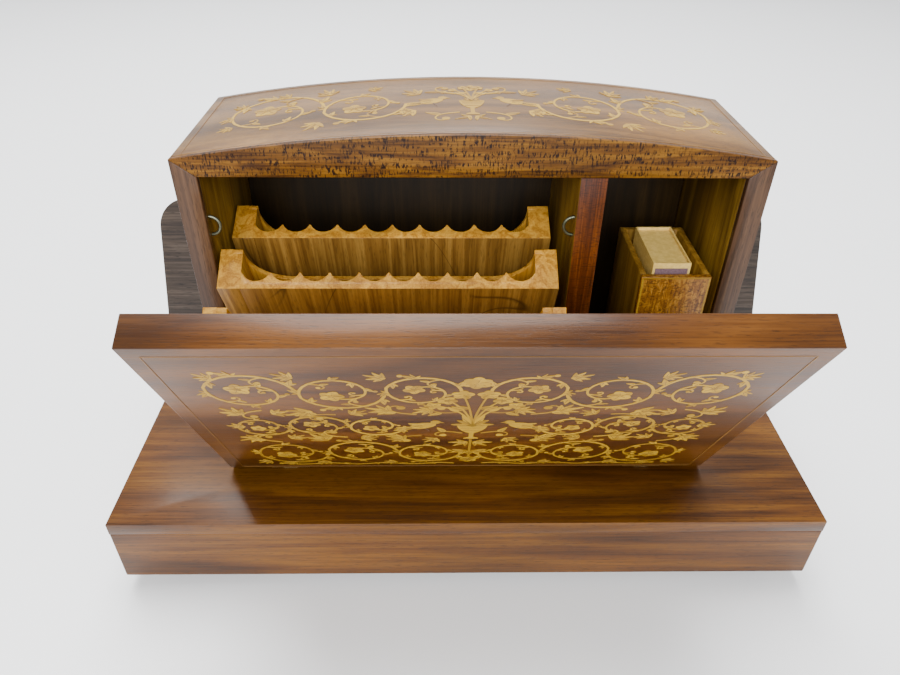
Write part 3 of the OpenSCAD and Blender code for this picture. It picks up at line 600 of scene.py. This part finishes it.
class Arabesque:
    """Scrollwork drawn flat in millimetres, X across and Y up, and let into a surface.

    Each shape stands a hair higher than the last one drawn, so that none lies in another's plane.
    """

    VENEER = 0
    LINE = 1
    STRINGING = 2
    STEP = 0.0016
    LAYERS = 40
    LINE_RISE = 0.035
    STRING_PARTS = 60
    LEAF_ROOT = 1.35
    LEAF_BOW = 0.12
    LEAST_VEINED = 2.6

    def __init__(self, thickness: float = 0.1) -> None:
        """Starts an empty drawing whose shapes have that thickness."""
        self.shape = bmesh.new()
        self.tone = self.shape.verts.layers.float.new("tone")
        self.thickness = thickness
        self.drawn = 0

    def settle(self, verts: Iterable[Vert], finish: int = VENEER) -> None:
        """Gives a shape its height, its tone and the number of its finish."""
        self.drawn += 1
        height = (self.drawn % self.LAYERS) * self.STEP
        if finish == self.LINE:
            height += self.LINE_RISE
        tone = (self.drawn * 7 % 10) / 10
        faces = set()
        for vert in verts:
            vert.co.z = height
            vert[self.tone] = tone
            faces.update(vert.link_faces)
        for face in faces:
            face.material_index = finish
            face.normal_update()
            if face.normal.z < 0:
                face.normal_flip()

    def ribbon(
        self, line: Sequence[Vector], width: Callable[[float], float], finish: int = VENEER
    ) -> None:
        """Extrudes a short edge along a line.

        Args:
            line: The points it passes.
            width: Its width at a share of the way, from 0 to 1.
            finish: The number of its finish.
        """
        last = len(line) - 1
        drawn = []
        edge = None
        for index, point in enumerate(line):
            ahead = line[min(index + 1, last)] - line[max(index - 1, 0)]
            across = flat(-ahead.y, ahead.x).normalized() * width(index / last) / 2
            if edge is None:
                ends = [self.shape.verts.new(point + step) for step in (across, -across)]
                edge = self.shape.edges.new(ends)
            else:
                before = list(edge.verts)
                made = bmesh.ops.extrude_edge_only(self.shape, edges=[edge])["geom"]
                ends = sorted(verts_in(made), key=lambda v: (v.co - before[0].co).length)
                if (before[0].co - left).length > (before[0].co - right).length:
                    ends.reverse()
                ends[0].co = point + across
                ends[1].co = point - across
                edge = next(e for e in ends[0].link_edges if e.other_vert(ends[0]) is ends[1])
            left, right = ends[0].co.copy(), ends[1].co.copy()
            drawn += ends
        self.settle(drawn, finish)

    def stroke(self, a: Vector, b: Vector, width: float) -> None:
        """A short engraved line from a to b that thins towards b."""
        self.ribbon([a, a.lerp(b, 0.5), b], lambda t: width * (1 - 0.6 * t), self.LINE)

    def leaf(
        self, at: Vector, heading: float, length: float, width: float,
        point: float = 0.9, vein: bool = True,
    ) -> None:
        """A leaf or a petal.

        Args:
            at: Its root.
            heading: The way it points.
            length: Its length.
            width: Its width.
            point: How much narrower its tip is than its root, below 1.3.
            vein: True if a line is engraved along it.
        """
        made = bmesh.ops.create_circle(self.shape, cap_ends=True, segments=14, radius=0.5)
        along = polar(heading)
        across = flat(-along.y, along.x)
        for vert in made["verts"]:
            share = vert.co.x + 0.5
            side = vert.co.y * width * (self.LEAF_ROOT - point * share)
            bow = self.LEAF_BOW * length * share * share
            vert.co = at + along * share * length + across * (side + bow)
        self.settle(made["verts"])
        if vein and length > self.LEAST_VEINED:
            self.stroke(at + along * length * 0.15, at + along * length * 0.8, 0.16)

    def disc(self, at: Vector, radius: float, segments: int = 12) -> None:
        """A round berry or a flower's eye."""
        made = bmesh.ops.create_circle(self.shape, cap_ends=True, segments=segments, radius=radius)
        for vert in made["verts"]:
            vert.co += at
        self.settle(made["verts"])

    def sprig(self, at: Vector, heading: float, length: float) -> None:
        """A leaf with two leaflets at its root."""
        self.leaf(at, heading, length, length * 0.42)
        root = at + polar(heading, length * 0.12)
        for side in (-1, 1):
            self.leaf(root, heading + side * 0.8, length * 0.58, length * 0.28)

    def flower(self, at: Vector, size: float, petals: int = 5, turn: float = 0.3) -> None:
        """An open flower with a ringed eye."""
        for k in range(petals):
            self.leaf(at, turn + math.tau * k / petals, size, size * 0.78, 0.35)
        self.disc(at, size * 0.3)
        for k in range(petals):
            edge = at + polar(turn + math.tau * (k + 0.5) / petals, size * 0.3)
            self.stroke(at, edge, 0.14)

    def palmette(self, at: Vector, heading: float, length: float, leaves: int = 5) -> None:
        """A fan of leaves, longest in the middle."""
        half = (leaves - 1) / 2
        for k in range(leaves):
            away = (k - half) / half
            self.leaf(at, heading + away * 1.15, length * (1 - 0.35 * abs(away)), length * 0.26)
        self.disc(at, length * 0.14)

    def scroll(self, centre: Vector, radius: float, hand: int, turns: float = 1.38) -> None:
        """A stem that comes in at the left, runs round its centre and curls up to a flower.

        Args:
            centre: The middle of the scroll.
            radius: Its radius before it curls in.
            hand: 1 to run under the middle first, -1 to run over it.
            turns: How many turns it makes.
        """
        round_part = 0.45
        tightness = 0.68

        def spot(share: float) -> Vector:
            curl = max(share * turns - round_part, 0) / (turns - round_part)
            reach = radius * (1 - tightness * curl**0.85)
            return centre + polar(math.pi + hand * share * turns * math.tau, reach)

        def onward(share: float) -> float:
            ahead = spot(share + 0.02) - spot(share)
            return math.atan2(ahead.y, ahead.x)

        self.ribbon([spot(i / 34) for i in range(35)], lambda t: 1.0 - 0.4 * t)
        self.flower(spot(1), radius * 0.3, turn=hand + radius)
        for k in range(11):
            share = 0.05 + 0.078 * k
            at = spot(share)
            out = -hand if k % 2 == 0 else hand
            heading = onward(share) + out * 0.75
            size = radius * (0.38 - 0.16 * share)
            if k % 4 == 1:
                self.tendril(at, heading, size * 1.2, out)
            elif k % 3 == 2:
                self.leaf(at, heading, size, size * 0.45)
                self.disc(at + polar(heading, size * 1.1), size * 0.22)
            else:
                self.sprig(at, heading, size)
        for share in (0.2, 0.36):
            self.palmette(spot(share), onward(share) - hand * 1.2, radius * 0.3, 3)

    def tendril(self, at: Vector, heading: float, size: float, hand: int) -> None:
        """A thin curl that ends in a berry."""
        line = [at.copy()]
        for k in range(12):
            bend = hand * 0.036 * k * k
            line.append(line[-1] + polar(heading + bend, size * (0.19 - 0.008 * k)))
        self.ribbon(line, lambda t: 0.65 - 0.25 * t)
        self.disc(line[-1], size * 0.15)
        self.leaf(line[4], heading - hand * 0.5, size * 0.6, size * 0.26)

    def palmettes(self, rows: Iterable[tuple[float, ...]]) -> None:
        """Fans of leaves, each by its X, Y, heading and length."""
        for x, y, heading, length in rows:
            self.palmette(flat(x, y), heading, length)

    def rinceau(self, start: Vector, radii: Sequence[float], hand: int) -> None:
        """A chain of scrolls that run over and under by turns."""
        at = start.copy()
        for radius in radii:
            self.scroll(at + flat(radius, 0), radius, hand)
            at.x += 2 * radius
            hand = -hand

    def bird(self, at: Vector, size: float) -> None:
        """A plain songbird that looks to the middle."""
        body = at + flat(0.42, -0.12) * size
        breast = body + polar(-0.5, size * 0.1)
        self.leaf(breast, math.pi - 0.62, size * 0.8, size * 0.42, 0.3, False)
        head = at + flat(-0.2, 0.36) * size
        self.disc(head, size * 0.15, 16)
        beak = head + flat(-0.08, 0) * size
        self.leaf(beak, math.pi + 0.25, size * 0.2, size * 0.1, 1.2, False)
        for k in range(3):
            self.leaf(body, -0.55 + 0.2 * k, size * (0.72 - 0.08 * k), size * 0.15, 0.6)
        for k in range(3):
            root = at + flat(0.12, 0.1 - 0.07 * k) * size
            self.leaf(root, 0.15 - 0.3 * k, size * (0.5 - 0.06 * k), size * 0.16, 0.7)
        self.stroke(at + flat(0.1, -0.2) * size, at + flat(-0.02, -0.5) * size, 0.5)

    def vase(self, foot: float, height: float, width: float) -> None:
        """A footed bowl in the middle, from the height of its foot."""
        steps = 16
        line = [flat(0, foot + height * i / steps) for i in range(steps + 1)]
        plinth, stem = 0.12, 0.45

        def profile(share: float) -> float:
            if share < plinth:
                return width * 0.5
            if share < stem:
                return width * 0.16
            swell = math.sin((share - stem) / (1 - stem) * math.pi / 2) ** 0.7
            return width * (0.2 + 0.8 * swell)

        self.ribbon(line, profile)
        for share in (0.62, 0.8, 0.94):
            reach = flat(profile(share) * 0.42, 0)
            middle = flat(0, foot + height * share)
            self.stroke(middle - reach, middle + reach, 0.18)

    def half_spray(self, root: Vector, height: float, reach: float) -> None:
        """The right half of a bunch of flowers that stands on its root."""
        self.palmette(root, math.pi / 2 - 0.45, height * 0.34, 3)
        steps = [i / 12 for i in range(13)]
        for share, size in ((0.3, 0.11), (0.66, 0.1), (1.0, 0.09)):
            tip = root + flat(reach * share, height * (1.0 - 0.42 * share))
            bend = root + flat(reach * share * 0.3, height * 0.55)
            line = [root.lerp(bend, t).lerp(bend.lerp(tip, t), t) for t in steps]
            self.ribbon(line, lambda t: 0.8 - 0.3 * t)
            self.flower(tip, height * size, 5, share)
            self.leaf(line[6], 0.3 + 0.5 * share, height * 0.16, height * 0.07)

    def frame_line(self, low: Vector, high: Vector, inset: float, width: float = 0.22) -> None:
        """Stringing round a rectangle.

        Args:
            low: Its lowest corner.
            high: Its highest corner.
            inset: How far in the line runs.
            width: How wide it is.
        """
        x0, y0 = low.x + inset, low.y + inset
        x1, y1 = high.x - inset, high.y - inset
        a, b, c, d = flat(x0, y0), flat(x1, y0), flat(x0, y1), flat(x1, y1)
        steps = [i / self.STRING_PARTS for i in range(self.STRING_PARTS + 1)]
        for start, end in ((a, b), (c, d), (a, c), (b, d)):
            self.ribbon([start.lerp(end, t) for t in steps], lambda t: width, self.STRINGING)

    def mirror(self) -> None:
        """Draws the same again on the left."""
        geometry = self.shape.verts[:] + self.shape.edges[:] + self.shape.faces[:]
        copy = bmesh.ops.duplicate(self.shape, geom=geometry)["geom"]
        faces = [f for f in copy if isinstance(f, bmesh.types.BMFace)]
        for vert in verts_in(copy):
            vert.co.x = -vert.co.x
        bmesh.ops.reverse_faces(self.shape, faces=faces)

    def lay(
        self, name: str, body: str,
        surface: Callable[[Vector], Vector], materials: Sequence[Material],
    ) -> bpy.types.Object:
        """Cuts the drawing out of its veneer and lays it in a surface.

        Args:
            name: The piece's name.
            body: The body that it rides on.
            surface: Carries a point of the drawing, in metres, to its place.
            materials: The light veneer, the engraved line and, where it has some, the stringing.

        Returns:
            The piece.
        """
        made = bmesh.ops.extrude_face_region(self.shape, geom=self.shape.faces[:])["geom"]
        half = Vector((0, 0, self.thickness * 0.5))
        top = verts_in(made)
        bmesh.ops.translate(self.shape, verts=top, vec=half)
        low = set(self.shape.verts) - set(top)
        bmesh.ops.translate(self.shape, verts=list(low), vec=-half)
        bmesh.ops.recalc_face_normals(self.shape, faces=self.shape.faces[:])
        for vert in self.shape.verts:
            vert.co = surface(vert.co * MM)
        return finish_piece(self.shape, name, body, materials)


# ---- The sub-assemblies ----


@dataclass
class Base:
    """The wide base, its feet and its bottom board."""

    arris: float = 0.4

    def build(self) -> None:
        """Makes the boards and dresses the small parts."""
        for node in ("base_front_rail", "base_rear_rail"):
            Board(node, BASE_WALNUT, arris=self.arris).build()
        sides = replace(BASE_WALNUT, grain=Grain.DEEP, name="side_walnut")
        Board("base_side_rails", sides, arris=self.arris).build()
        Board("base_top_board", BASE_WALNUT, arris=self.arris).build()
        Board("base_bottom_board", PLAIN_BOARD).build()
        dress(["feet"], EBONISED.material())
        dress(["bottom_screws", "hinge_brackets", "hinge_screws"], shared_metal("brass"))


@dataclass
class Case:
    """The arched box: its walls, its veneered front and the marquetry on its roof.

    Sizes are in millimetres, the rear board's lean in degrees. The chip's place is from the left
    end of the rear board and the top of the base.
    """

    arch_rise: float = 7.5
    board_lean: float = 22.5
    chip_half: tuple[float, float] = (2.4, 5)
    chip_t: float = 0.3
    chip_proud: float = 0.06
    chip_at: tuple[float, float] = (3.4, 7)
    board_gap: float = 0.3

    PALMETTES = (
        (17, 9.5, 0.6, 6.5), (18, -7.5, -0.5, 6.5),
        (46, 14, 1.0, 6.5), (46.5, -13.5, -1.1, 6.5),
        (33, 16, 2.6, 4.5), (60, 16, 0.4, 4.5),
        (74, 10, 0.6, 4.5), (74, -9, -0.6, 4.5),
    )

    def build(self) -> None:
        """Makes the boards, then the inlay."""
        lining = LINING.material()
        Board("side_wall_left", WALNUT, skins=[Skin(lining, RIGHT)]).build()
        Board("side_wall_right", WALNUT, skins=[Skin(lining, LEFT)]).build()
        skins = [Skin(lining, RIGHT), Skin(lining, LEFT)]
        Board("divider", ROSEWOOD, skins=skins).build()
        # The back panel's front face wears the lining with painted shade for the shadow under the
        # roof.
        Board("back_panel", WALNUT, skins=[Skin(PAINTED_SHADE_LINING.material(), FORWARD)]).build()
        # The roof's lighter walnut is a painted sheen for the reflection on its top.
        Board("roof", ROOF_WALNUT_PAINTED_SHEEN, skins=[Skin(lining, -UPWARD)]).build()
        Board("fascia", FASCIA, arris=0.25).build()
        Board("front_stiles", STILE, arris=0.25).build()
        Board("bay_front", LINING).build()
        Board("tray_shelf", LINING).build()
        Board("rear_board", STAINED, arris=0.5).build()
        dress(["wall_eyes"], OLD_WIRE.material())
        self.roof_inlay()
        self.veneer_chip()

    def on_roof(self, point: Vector) -> Vector:
        """Bends a flat point, with Y towards the back, onto the arch."""
        low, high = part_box("roof")
        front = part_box("fascia")[0].y
        half = (high.x - low.x) / 2
        rise = self.arch_rise * MM
        radius = (half * half + rise * rise) / (2 * rise)
        angle = point.x / radius
        reach = radius + point.z
        x, z = reach * math.sin(angle), reach * math.cos(angle)
        return Vector((x, (front + high.y) / 2 + point.y, high.z - radius + z))

    def roof_inlay(self) -> None:
        """Lays the scrollwork and the stringing in the roof."""
        low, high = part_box("roof")
        half = (high.x - low.x) / 2 / MM
        deep = (high.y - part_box("fascia")[0].y) / 2 / MM
        work = Arabesque()
        work.bird(flat(11, 1.5), 9.5)
        work.rinceau(flat(20.5, 0), [13, 15], 1)
        work.palmettes(self.PALMETTES)
        work.tendril(flat(4, -9), -0.2, 8.5, -1)
        work.tendril(flat(5, 9), 0.3, 8, 1)
        work.half_spray(flat(0, 2), 15, 9)
        work.palmette(flat(1.2, -13), -0.6, 5, 3)
        work.mirror()
        work.vase(-11, 13, 8)
        work.flower(flat(0, 15), 2.8, 6)
        work.frame_line(flat(-half, -deep), flat(half, deep), 2.6)
        materials = [MARQUETRY.material(), INK.material(), STRINGING.material()]
        work.lay("roof_marquetry", body_of_node("roof"), self.on_roof, materials)

    def veneer_chip(self) -> None:
        """A small patch where the rear board's dark veneer has come away."""
        low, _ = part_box("rear_board")
        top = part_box("base_top_board")[1].z
        shape = bmesh.new()
        made = bmesh.ops.create_circle(shape, cap_ends=True, segments=9, radius=1.0)
        right, up = self.chip_at
        centre = Vector((low.x + right * MM, 0, top + up * MM))
        lean = math.radians(self.board_lean)
        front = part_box("back_panel")[1].y + self.board_gap * MM
        wide, tall = self.chip_half
        for k, vert in enumerate(made["verts"]):
            ragged = 1 + 0.25 * math.sin(k * 2.6)
            vert.co = centre + Vector((vert.co.x * wide, 0, vert.co.y * tall)) * ragged * MM
            vert.co.y = front + (vert.co.z - top) * math.tan(lean) - self.chip_proud * MM
        made = bmesh.ops.extrude_face_region(shape, geom=shape.faces[:])["geom"]
        bmesh.ops.translate(shape, verts=verts_in(made), vec=BACKWARD * self.chip_t * MM)
        bmesh.ops.recalc_face_normals(shape, faces=shape.faces[:])
        body = body_of_node("rear_board")
        finish_piece(shape, "rear_board_chip", body, [CHIP.material()])


@dataclass
class Door:
    """The fall front with its marquetry face.

    Sizes are in millimetres, from the pivot: the face runs from drop below it to rise above it.
    """

    place: Upright = field(default_factory=lambda: Upright.of_joint("door_hinge"))
    thickness: float = 9.5
    drop: float = 4.2
    rise: float = 105.0

    PALMETTES = (
        (25, 61, 0.3, 7.5), (48.5, 60.5, -0.5, 8),
        (69, 59, 0.7, 7), (36, 58.5, 2.4, 5.5),
        (59, 59, 2.6, 5.5), (22, 33.5, 0.5, 7),
        (35, 34.5, 2.7, 5.5), (47.5, 33, 0.9, 8),
        (58, 35, 2.4, 5.5), (69, 35.5, -0.5, 7),
        (13, 62, -0.6, 6), (11.5, 34, -0.9, 5.5),
        (25, 86.5, 0.3, 5.5), (49, 87, 0.4, 5.5),
        (70, 86.5, 0.6, 5), (71, 47, 0.1, 5),
        (71, 7.5, -0.5, 5), (26, 6.5, -0.5, 5),
        (50, 6.5, -0.6, 5),
    )
    TENDRILS = (
        (17, 58, 0.2, 9, 1), (41, 58, 0.1, 8, -1),
        (16, 37.5, -0.1, 9, -1), (40, 36, 0.2, 8, 1),
        (62, 62, -0.3, 8, -1), (62, 31, 0.3, 8, 1),
        (3, 40, 0.4, 8, -1), (4, 60, -0.2, 8, 1),
    )

    def build(self) -> None:
        """Makes the panel and its inlay, and dresses the fittings."""
        inner = LINING.material(self.place, "_door")
        skins = [Skin(inner, self.place.turned(BACKWARD))]
        Board("door_panel", WALNUT, self.place, skins=skins).build()
        dress(["hinge_pins", "door_posts"], shared_metal("brass"))
        self.inlay()

    def on_face(self, point: Vector) -> Vector:
        """Stands a flat point up on the door's outer face."""
        upright = Vector((point.x, -self.thickness / 2 * MM - point.z, point.y))
        return self.place.matrix() @ upright

    def inlay(self) -> None:
        """Lays the scrollwork and the stringing in the face."""
        low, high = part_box("door_panel")
        half = (high.x - low.x) / 2 / MM
        work = Arabesque()
        work.rinceau(flat(4, 76), [10.6, 12.1, 12.4], -1)
        work.bird(flat(13.5, 47), 10.5)
        work.rinceau(flat(21, 47), [8.6, 9.2, 8.2], 1)
        work.rinceau(flat(3, 18.5), [10.8, 12, 12.2], 1)
        work.palmettes(self.PALMETTES)
        for x, y, heading, size, hand in self.TENDRILS:
            work.tendril(flat(x, y), heading, size, hand)
        waving = [flat(5 + 62 * i / 30, 4.2 + 0.8 * math.sin(i * 0.65)) for i in range(31)]
        work.ribbon(waving, lambda t: 0.8 - 0.35 * t)
        for k in range(6):
            work.sprig(waving[3 + 5 * k], 0.5 if k % 2 else -0.45, 3)
        work.half_spray(flat(0, 48), 30, 12)
        work.palmette(flat(1.6, 30), -0.5, 6.5, 4)
        work.palmette(flat(1.6, 20), -0.9, 7, 4)
        work.mirror()
        work.vase(34, 14, 9.5)
        work.flower(flat(0, 83), 4.2, 6)
        work.flower(flat(0, 9.5), 3.4, 6)
        work.ribbon([flat(0, 12 + i) for i in range(22)], lambda t: 0.9)
        work.frame_line(flat(-half, -self.drop), flat(half, self.rise), 4.8)
        string = STRINGING.material(self.place)
        materials = [MARQUETRY.material(self.place), INK.material(), string]
        work.lay("door_marquetry", "door", self.on_face, materials)


@dataclass
class Tray:
    """One fluted cigarette tray, numbered from the rear."""

    number: int

    def build(self) -> None:
        """Makes the tray's wooden pieces and dresses its pins."""
        place = Upright.of_joint(f"tray_{self.number}_tilt")
        face = replace(TRAY_FACE, seed=TRAY_FACE.seed + self.number * 0.37)
        veneer = face.material(place, f"_{self.number}")
        skins = [Skin(veneer, place.turned(FORWARD), 0.9)]
        core = replace(TRAY_CORE, seed=TRAY_CORE.seed + self.number * 0.53)
        Board(f"tray_front_{self.number}", core, place, 0.15, skins).build()
        Board(f"tray_ends_{self.number}", core, place, 0.3, skins).build()
        Board(f"tray_back_{self.number}", core, place, 0.2).build()
        Board(f"tray_floor_{self.number}", LINING, place, 0.2).build()
        dress([f"tray_pins_{self.number}"], shared_metal("steel"))


@dataclass
class Matches:
    """The match holder in its bay, and the matchbox on end inside it."""

    striker_t: float = 0.12

    def build(self) -> None:
        """Makes the holder, the matchbox and its striking strips."""
        # The holder's sides wear the lining painted lighter, as painted light.
        Board("match_holder", HOLDER_SIDE_PAINTED_LIGHT).build()
        Board("match_holder_front", HOLDER, arris=0.2).build()
        self.edge_lines()
        dress(["matchbox_sleeve", "matchbox_drawer"], CARD.material())
        self.strikers()

    def edge_lines(self) -> None:
        """Light stringing down the front's two edges and across its top."""
        low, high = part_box("match_holder_front")
        work = Arabesque(0.08)
        inset = 0.5
        x0, x1 = low.x / MM + inset, high.x / MM - inset
        z0, z1 = low.z / MM, high.z / MM - inset
        a, b, c, d = flat(x0, z0), flat(x0, z1), flat(x1, z0), flat(x1, z1)
        for start, end in ((a, b), (c, d), (b, d)):
            work.ribbon([start, end], lambda t: 0.55)
        body = body_of_node("match_holder_front")
        materials = [MARQUETRY.material(), INK.material()]
        work.lay("holder_stringing", body, lambda p: Vector((p.x, low.y - p.z, p.y)), materials)

    def strikers(self) -> None:
        """The striking strip on each narrow side of the matchbox."""
        low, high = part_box("matchbox_sleeve")
        for name, y, out in (("front", low.y, -1), ("back", high.y, 1)):
            shape = bmesh.new()
            bmesh.ops.create_cube(shape, size=1.0)
            size = Vector((high.x - low.x - 1.6 * MM, self.striker_t * MM, high.z - low.z - 3 * MM))
            bmesh.ops.scale(shape, verts=shape.verts[:], vec=size)
            middle = (low + high) / 2
            middle.y = y + out * self.striker_t * MM / 2
            middle.z -= 0.4 * MM
            bmesh.ops.translate(shape, verts=shape.verts[:], vec=middle)
            soften(shape, 0.03)
            finish_piece(shape, f"striker_{name}", "matchbox", [STRIKER.material()])


@dataclass
class Works:
    """The links, the plunger that stops the music and the cylinder movement."""

    def build(self) -> None:
        """Dresses the parts by their metal."""
        steel = ["door_links", "links_23", "links_12", "bedplate", "barrel_bridge", "comb_block"]
        steel += ["governor_frame", "governor_worm", "winding_arbor"]
        dress(steel, shared_metal("steel"))
        brass = ["stop_plunger", "pinned_cylinder", "barrel", "winding_key", "gear_arbor"]
        dress(brass, shared_metal("brass"))
        spring = ["comb", "mainspring", "movement_screws", "comb_screws"]
        dress(spring, SPRING_STEEL.material())


def shared_metal(name: str) -> Material:
    """A metal that several parts share, made once."""
    metals = {metal.name: metal for metal in (BRASS, STEEL)}
    return bpy.data.materials.get(name) or metals[name].material()


# ---- The studio ----


@dataclass
class Studio:
    """A pale floor, soft light and the camera. Sizes are in millimetres, angles in degrees."""

    eye: Vector = field(default_factory=lambda: Vector((-10.2, -208.2, 229.57)))
    pitch: float = 36.05
    yaw: float = -1.07
    roll: float = 0.58
    lens: float = 28.17
    aim: Vector = field(default_factory=lambda: Vector((0, 0, 60)))
    floor_reach: float = 4000
    fade: tuple[float, float] = (0.3, 0.62)

    def build(self) -> None:
        """Makes the whole studio."""
        self.camera()
        self.floor()
        self.light("key", Vector((-150, 450, 1300)), 1100, 50)
        self.light("fill", Vector((-60, -1000, 640)), 800, 20)
        self.surroundings(1.45, 0.5)

    def surroundings(self, level: float, overhead: float) -> None:
        """A room that is pale at eye level and darker above.

        Args:
            level: Its brightness at eye level.
            overhead: Its brightness high up.
        """
        world = bpy.data.worlds.new("studio")
        world.use_nodes = True
        nodes, links = world.node_tree.nodes, world.node_tree.links
        coords = nodes.new("ShaderNodeTexCoord")
        parts = nodes.new("ShaderNodeSeparateXYZ")
        fade = nodes.new("ShaderNodeMapRange")
        fade.interpolation_type = "SMOOTHSTEP"
        span = (*self.fade, level, overhead)
        for key, value in zip(("From Min", "From Max", "To Min", "To Max"), span):
            fade.inputs[key].default_value = value
        sky = nodes["Background"]
        sky.inputs["Color"].default_value = (0.95, 0.97, 1.0, 1.0)
        links.new(coords.outputs["Generated"], parts.inputs["Vector"])
        links.new(parts.outputs["Z"], fade.inputs["Value"])
        links.new(fade.outputs["Result"], sky.inputs["Strength"])
        bpy.context.scene.world = world

    def camera(self) -> None:
        """Stands the camera in front of the object, looking down."""
        yaw, pitch, roll = (math.radians(a) for a in (self.yaw, self.pitch, self.roll))
        across = polar(yaw)
        ahead = polar(yaw + math.pi / 2)
        view = ahead * math.cos(pitch) - UPWARD * math.sin(pitch)
        over = ahead * math.sin(pitch) + UPWARD * math.cos(pitch)
        right = across * math.cos(roll) + over * math.sin(roll)
        up = over * math.cos(roll) - across * math.sin(roll)
        data = bpy.data.cameras.new("camera")
        data.lens = self.lens
        data.sensor_width = 36
        data.clip_start = 0.01
        camera = bpy.data.objects.new("camera", data)
        turn = Matrix((right, up, -view)).transposed().to_4x4()
        camera.matrix_world = Matrix.Translation(self.eye * MM) @ turn
        bpy.context.scene.collection.objects.link(camera)
        bpy.context.scene.camera = camera

    def floor(self) -> None:
        """Lays a plain floor under the feet."""
        shape = bmesh.new()
        bmesh.ops.create_grid(shape, x_segments=1, y_segments=1, size=self.floor_reach * MM)
        mesh = bpy.data.meshes.new("floor")
        shape.to_mesh(mesh)
        shape.free()
        pale = Graph("floor").close(Base_Color=(0.9, 0.905, 0.91), Roughness=0.6)
        mesh.materials.append(pale)
        floor = bpy.data.objects.new("floor", mesh)
        bpy.context.scene.collection.objects.link(floor)

    def light(self, name: str, place: Vector, size: float, power: float) -> None:
        """A square soft light that points at the object.

        Args:
            name: Its name.
            place: Where it hangs, in millimetres.
            size: The length of its side, in millimetres.
            power: Its power in watts.
        """
        data = bpy.data.lights.new(name, "AREA")
        data.size = size * MM
        data.energy = power
        lamp = bpy.data.objects.new(name, data)
        lamp.location = place * MM
        ahead = self.aim * MM - lamp.location
        lamp.rotation_euler = ahead.to_track_quat("-Z", "Y").to_euler()
        bpy.context.scene.collection.objects.link(lamp)


def main() -> None:
    """Builds the studio and every sub-assembly in order."""
    logging.basicConfig(level=logging.INFO, format="%(name)s: %(message)s")
    Studio().build()
    Base().build()
    Case().build()
    Door().build()
    for number in (1, 2, 3):
        Tray(number).build()
    Matches().build()
    Works().build()


if __name__ == "__main__":
    main()
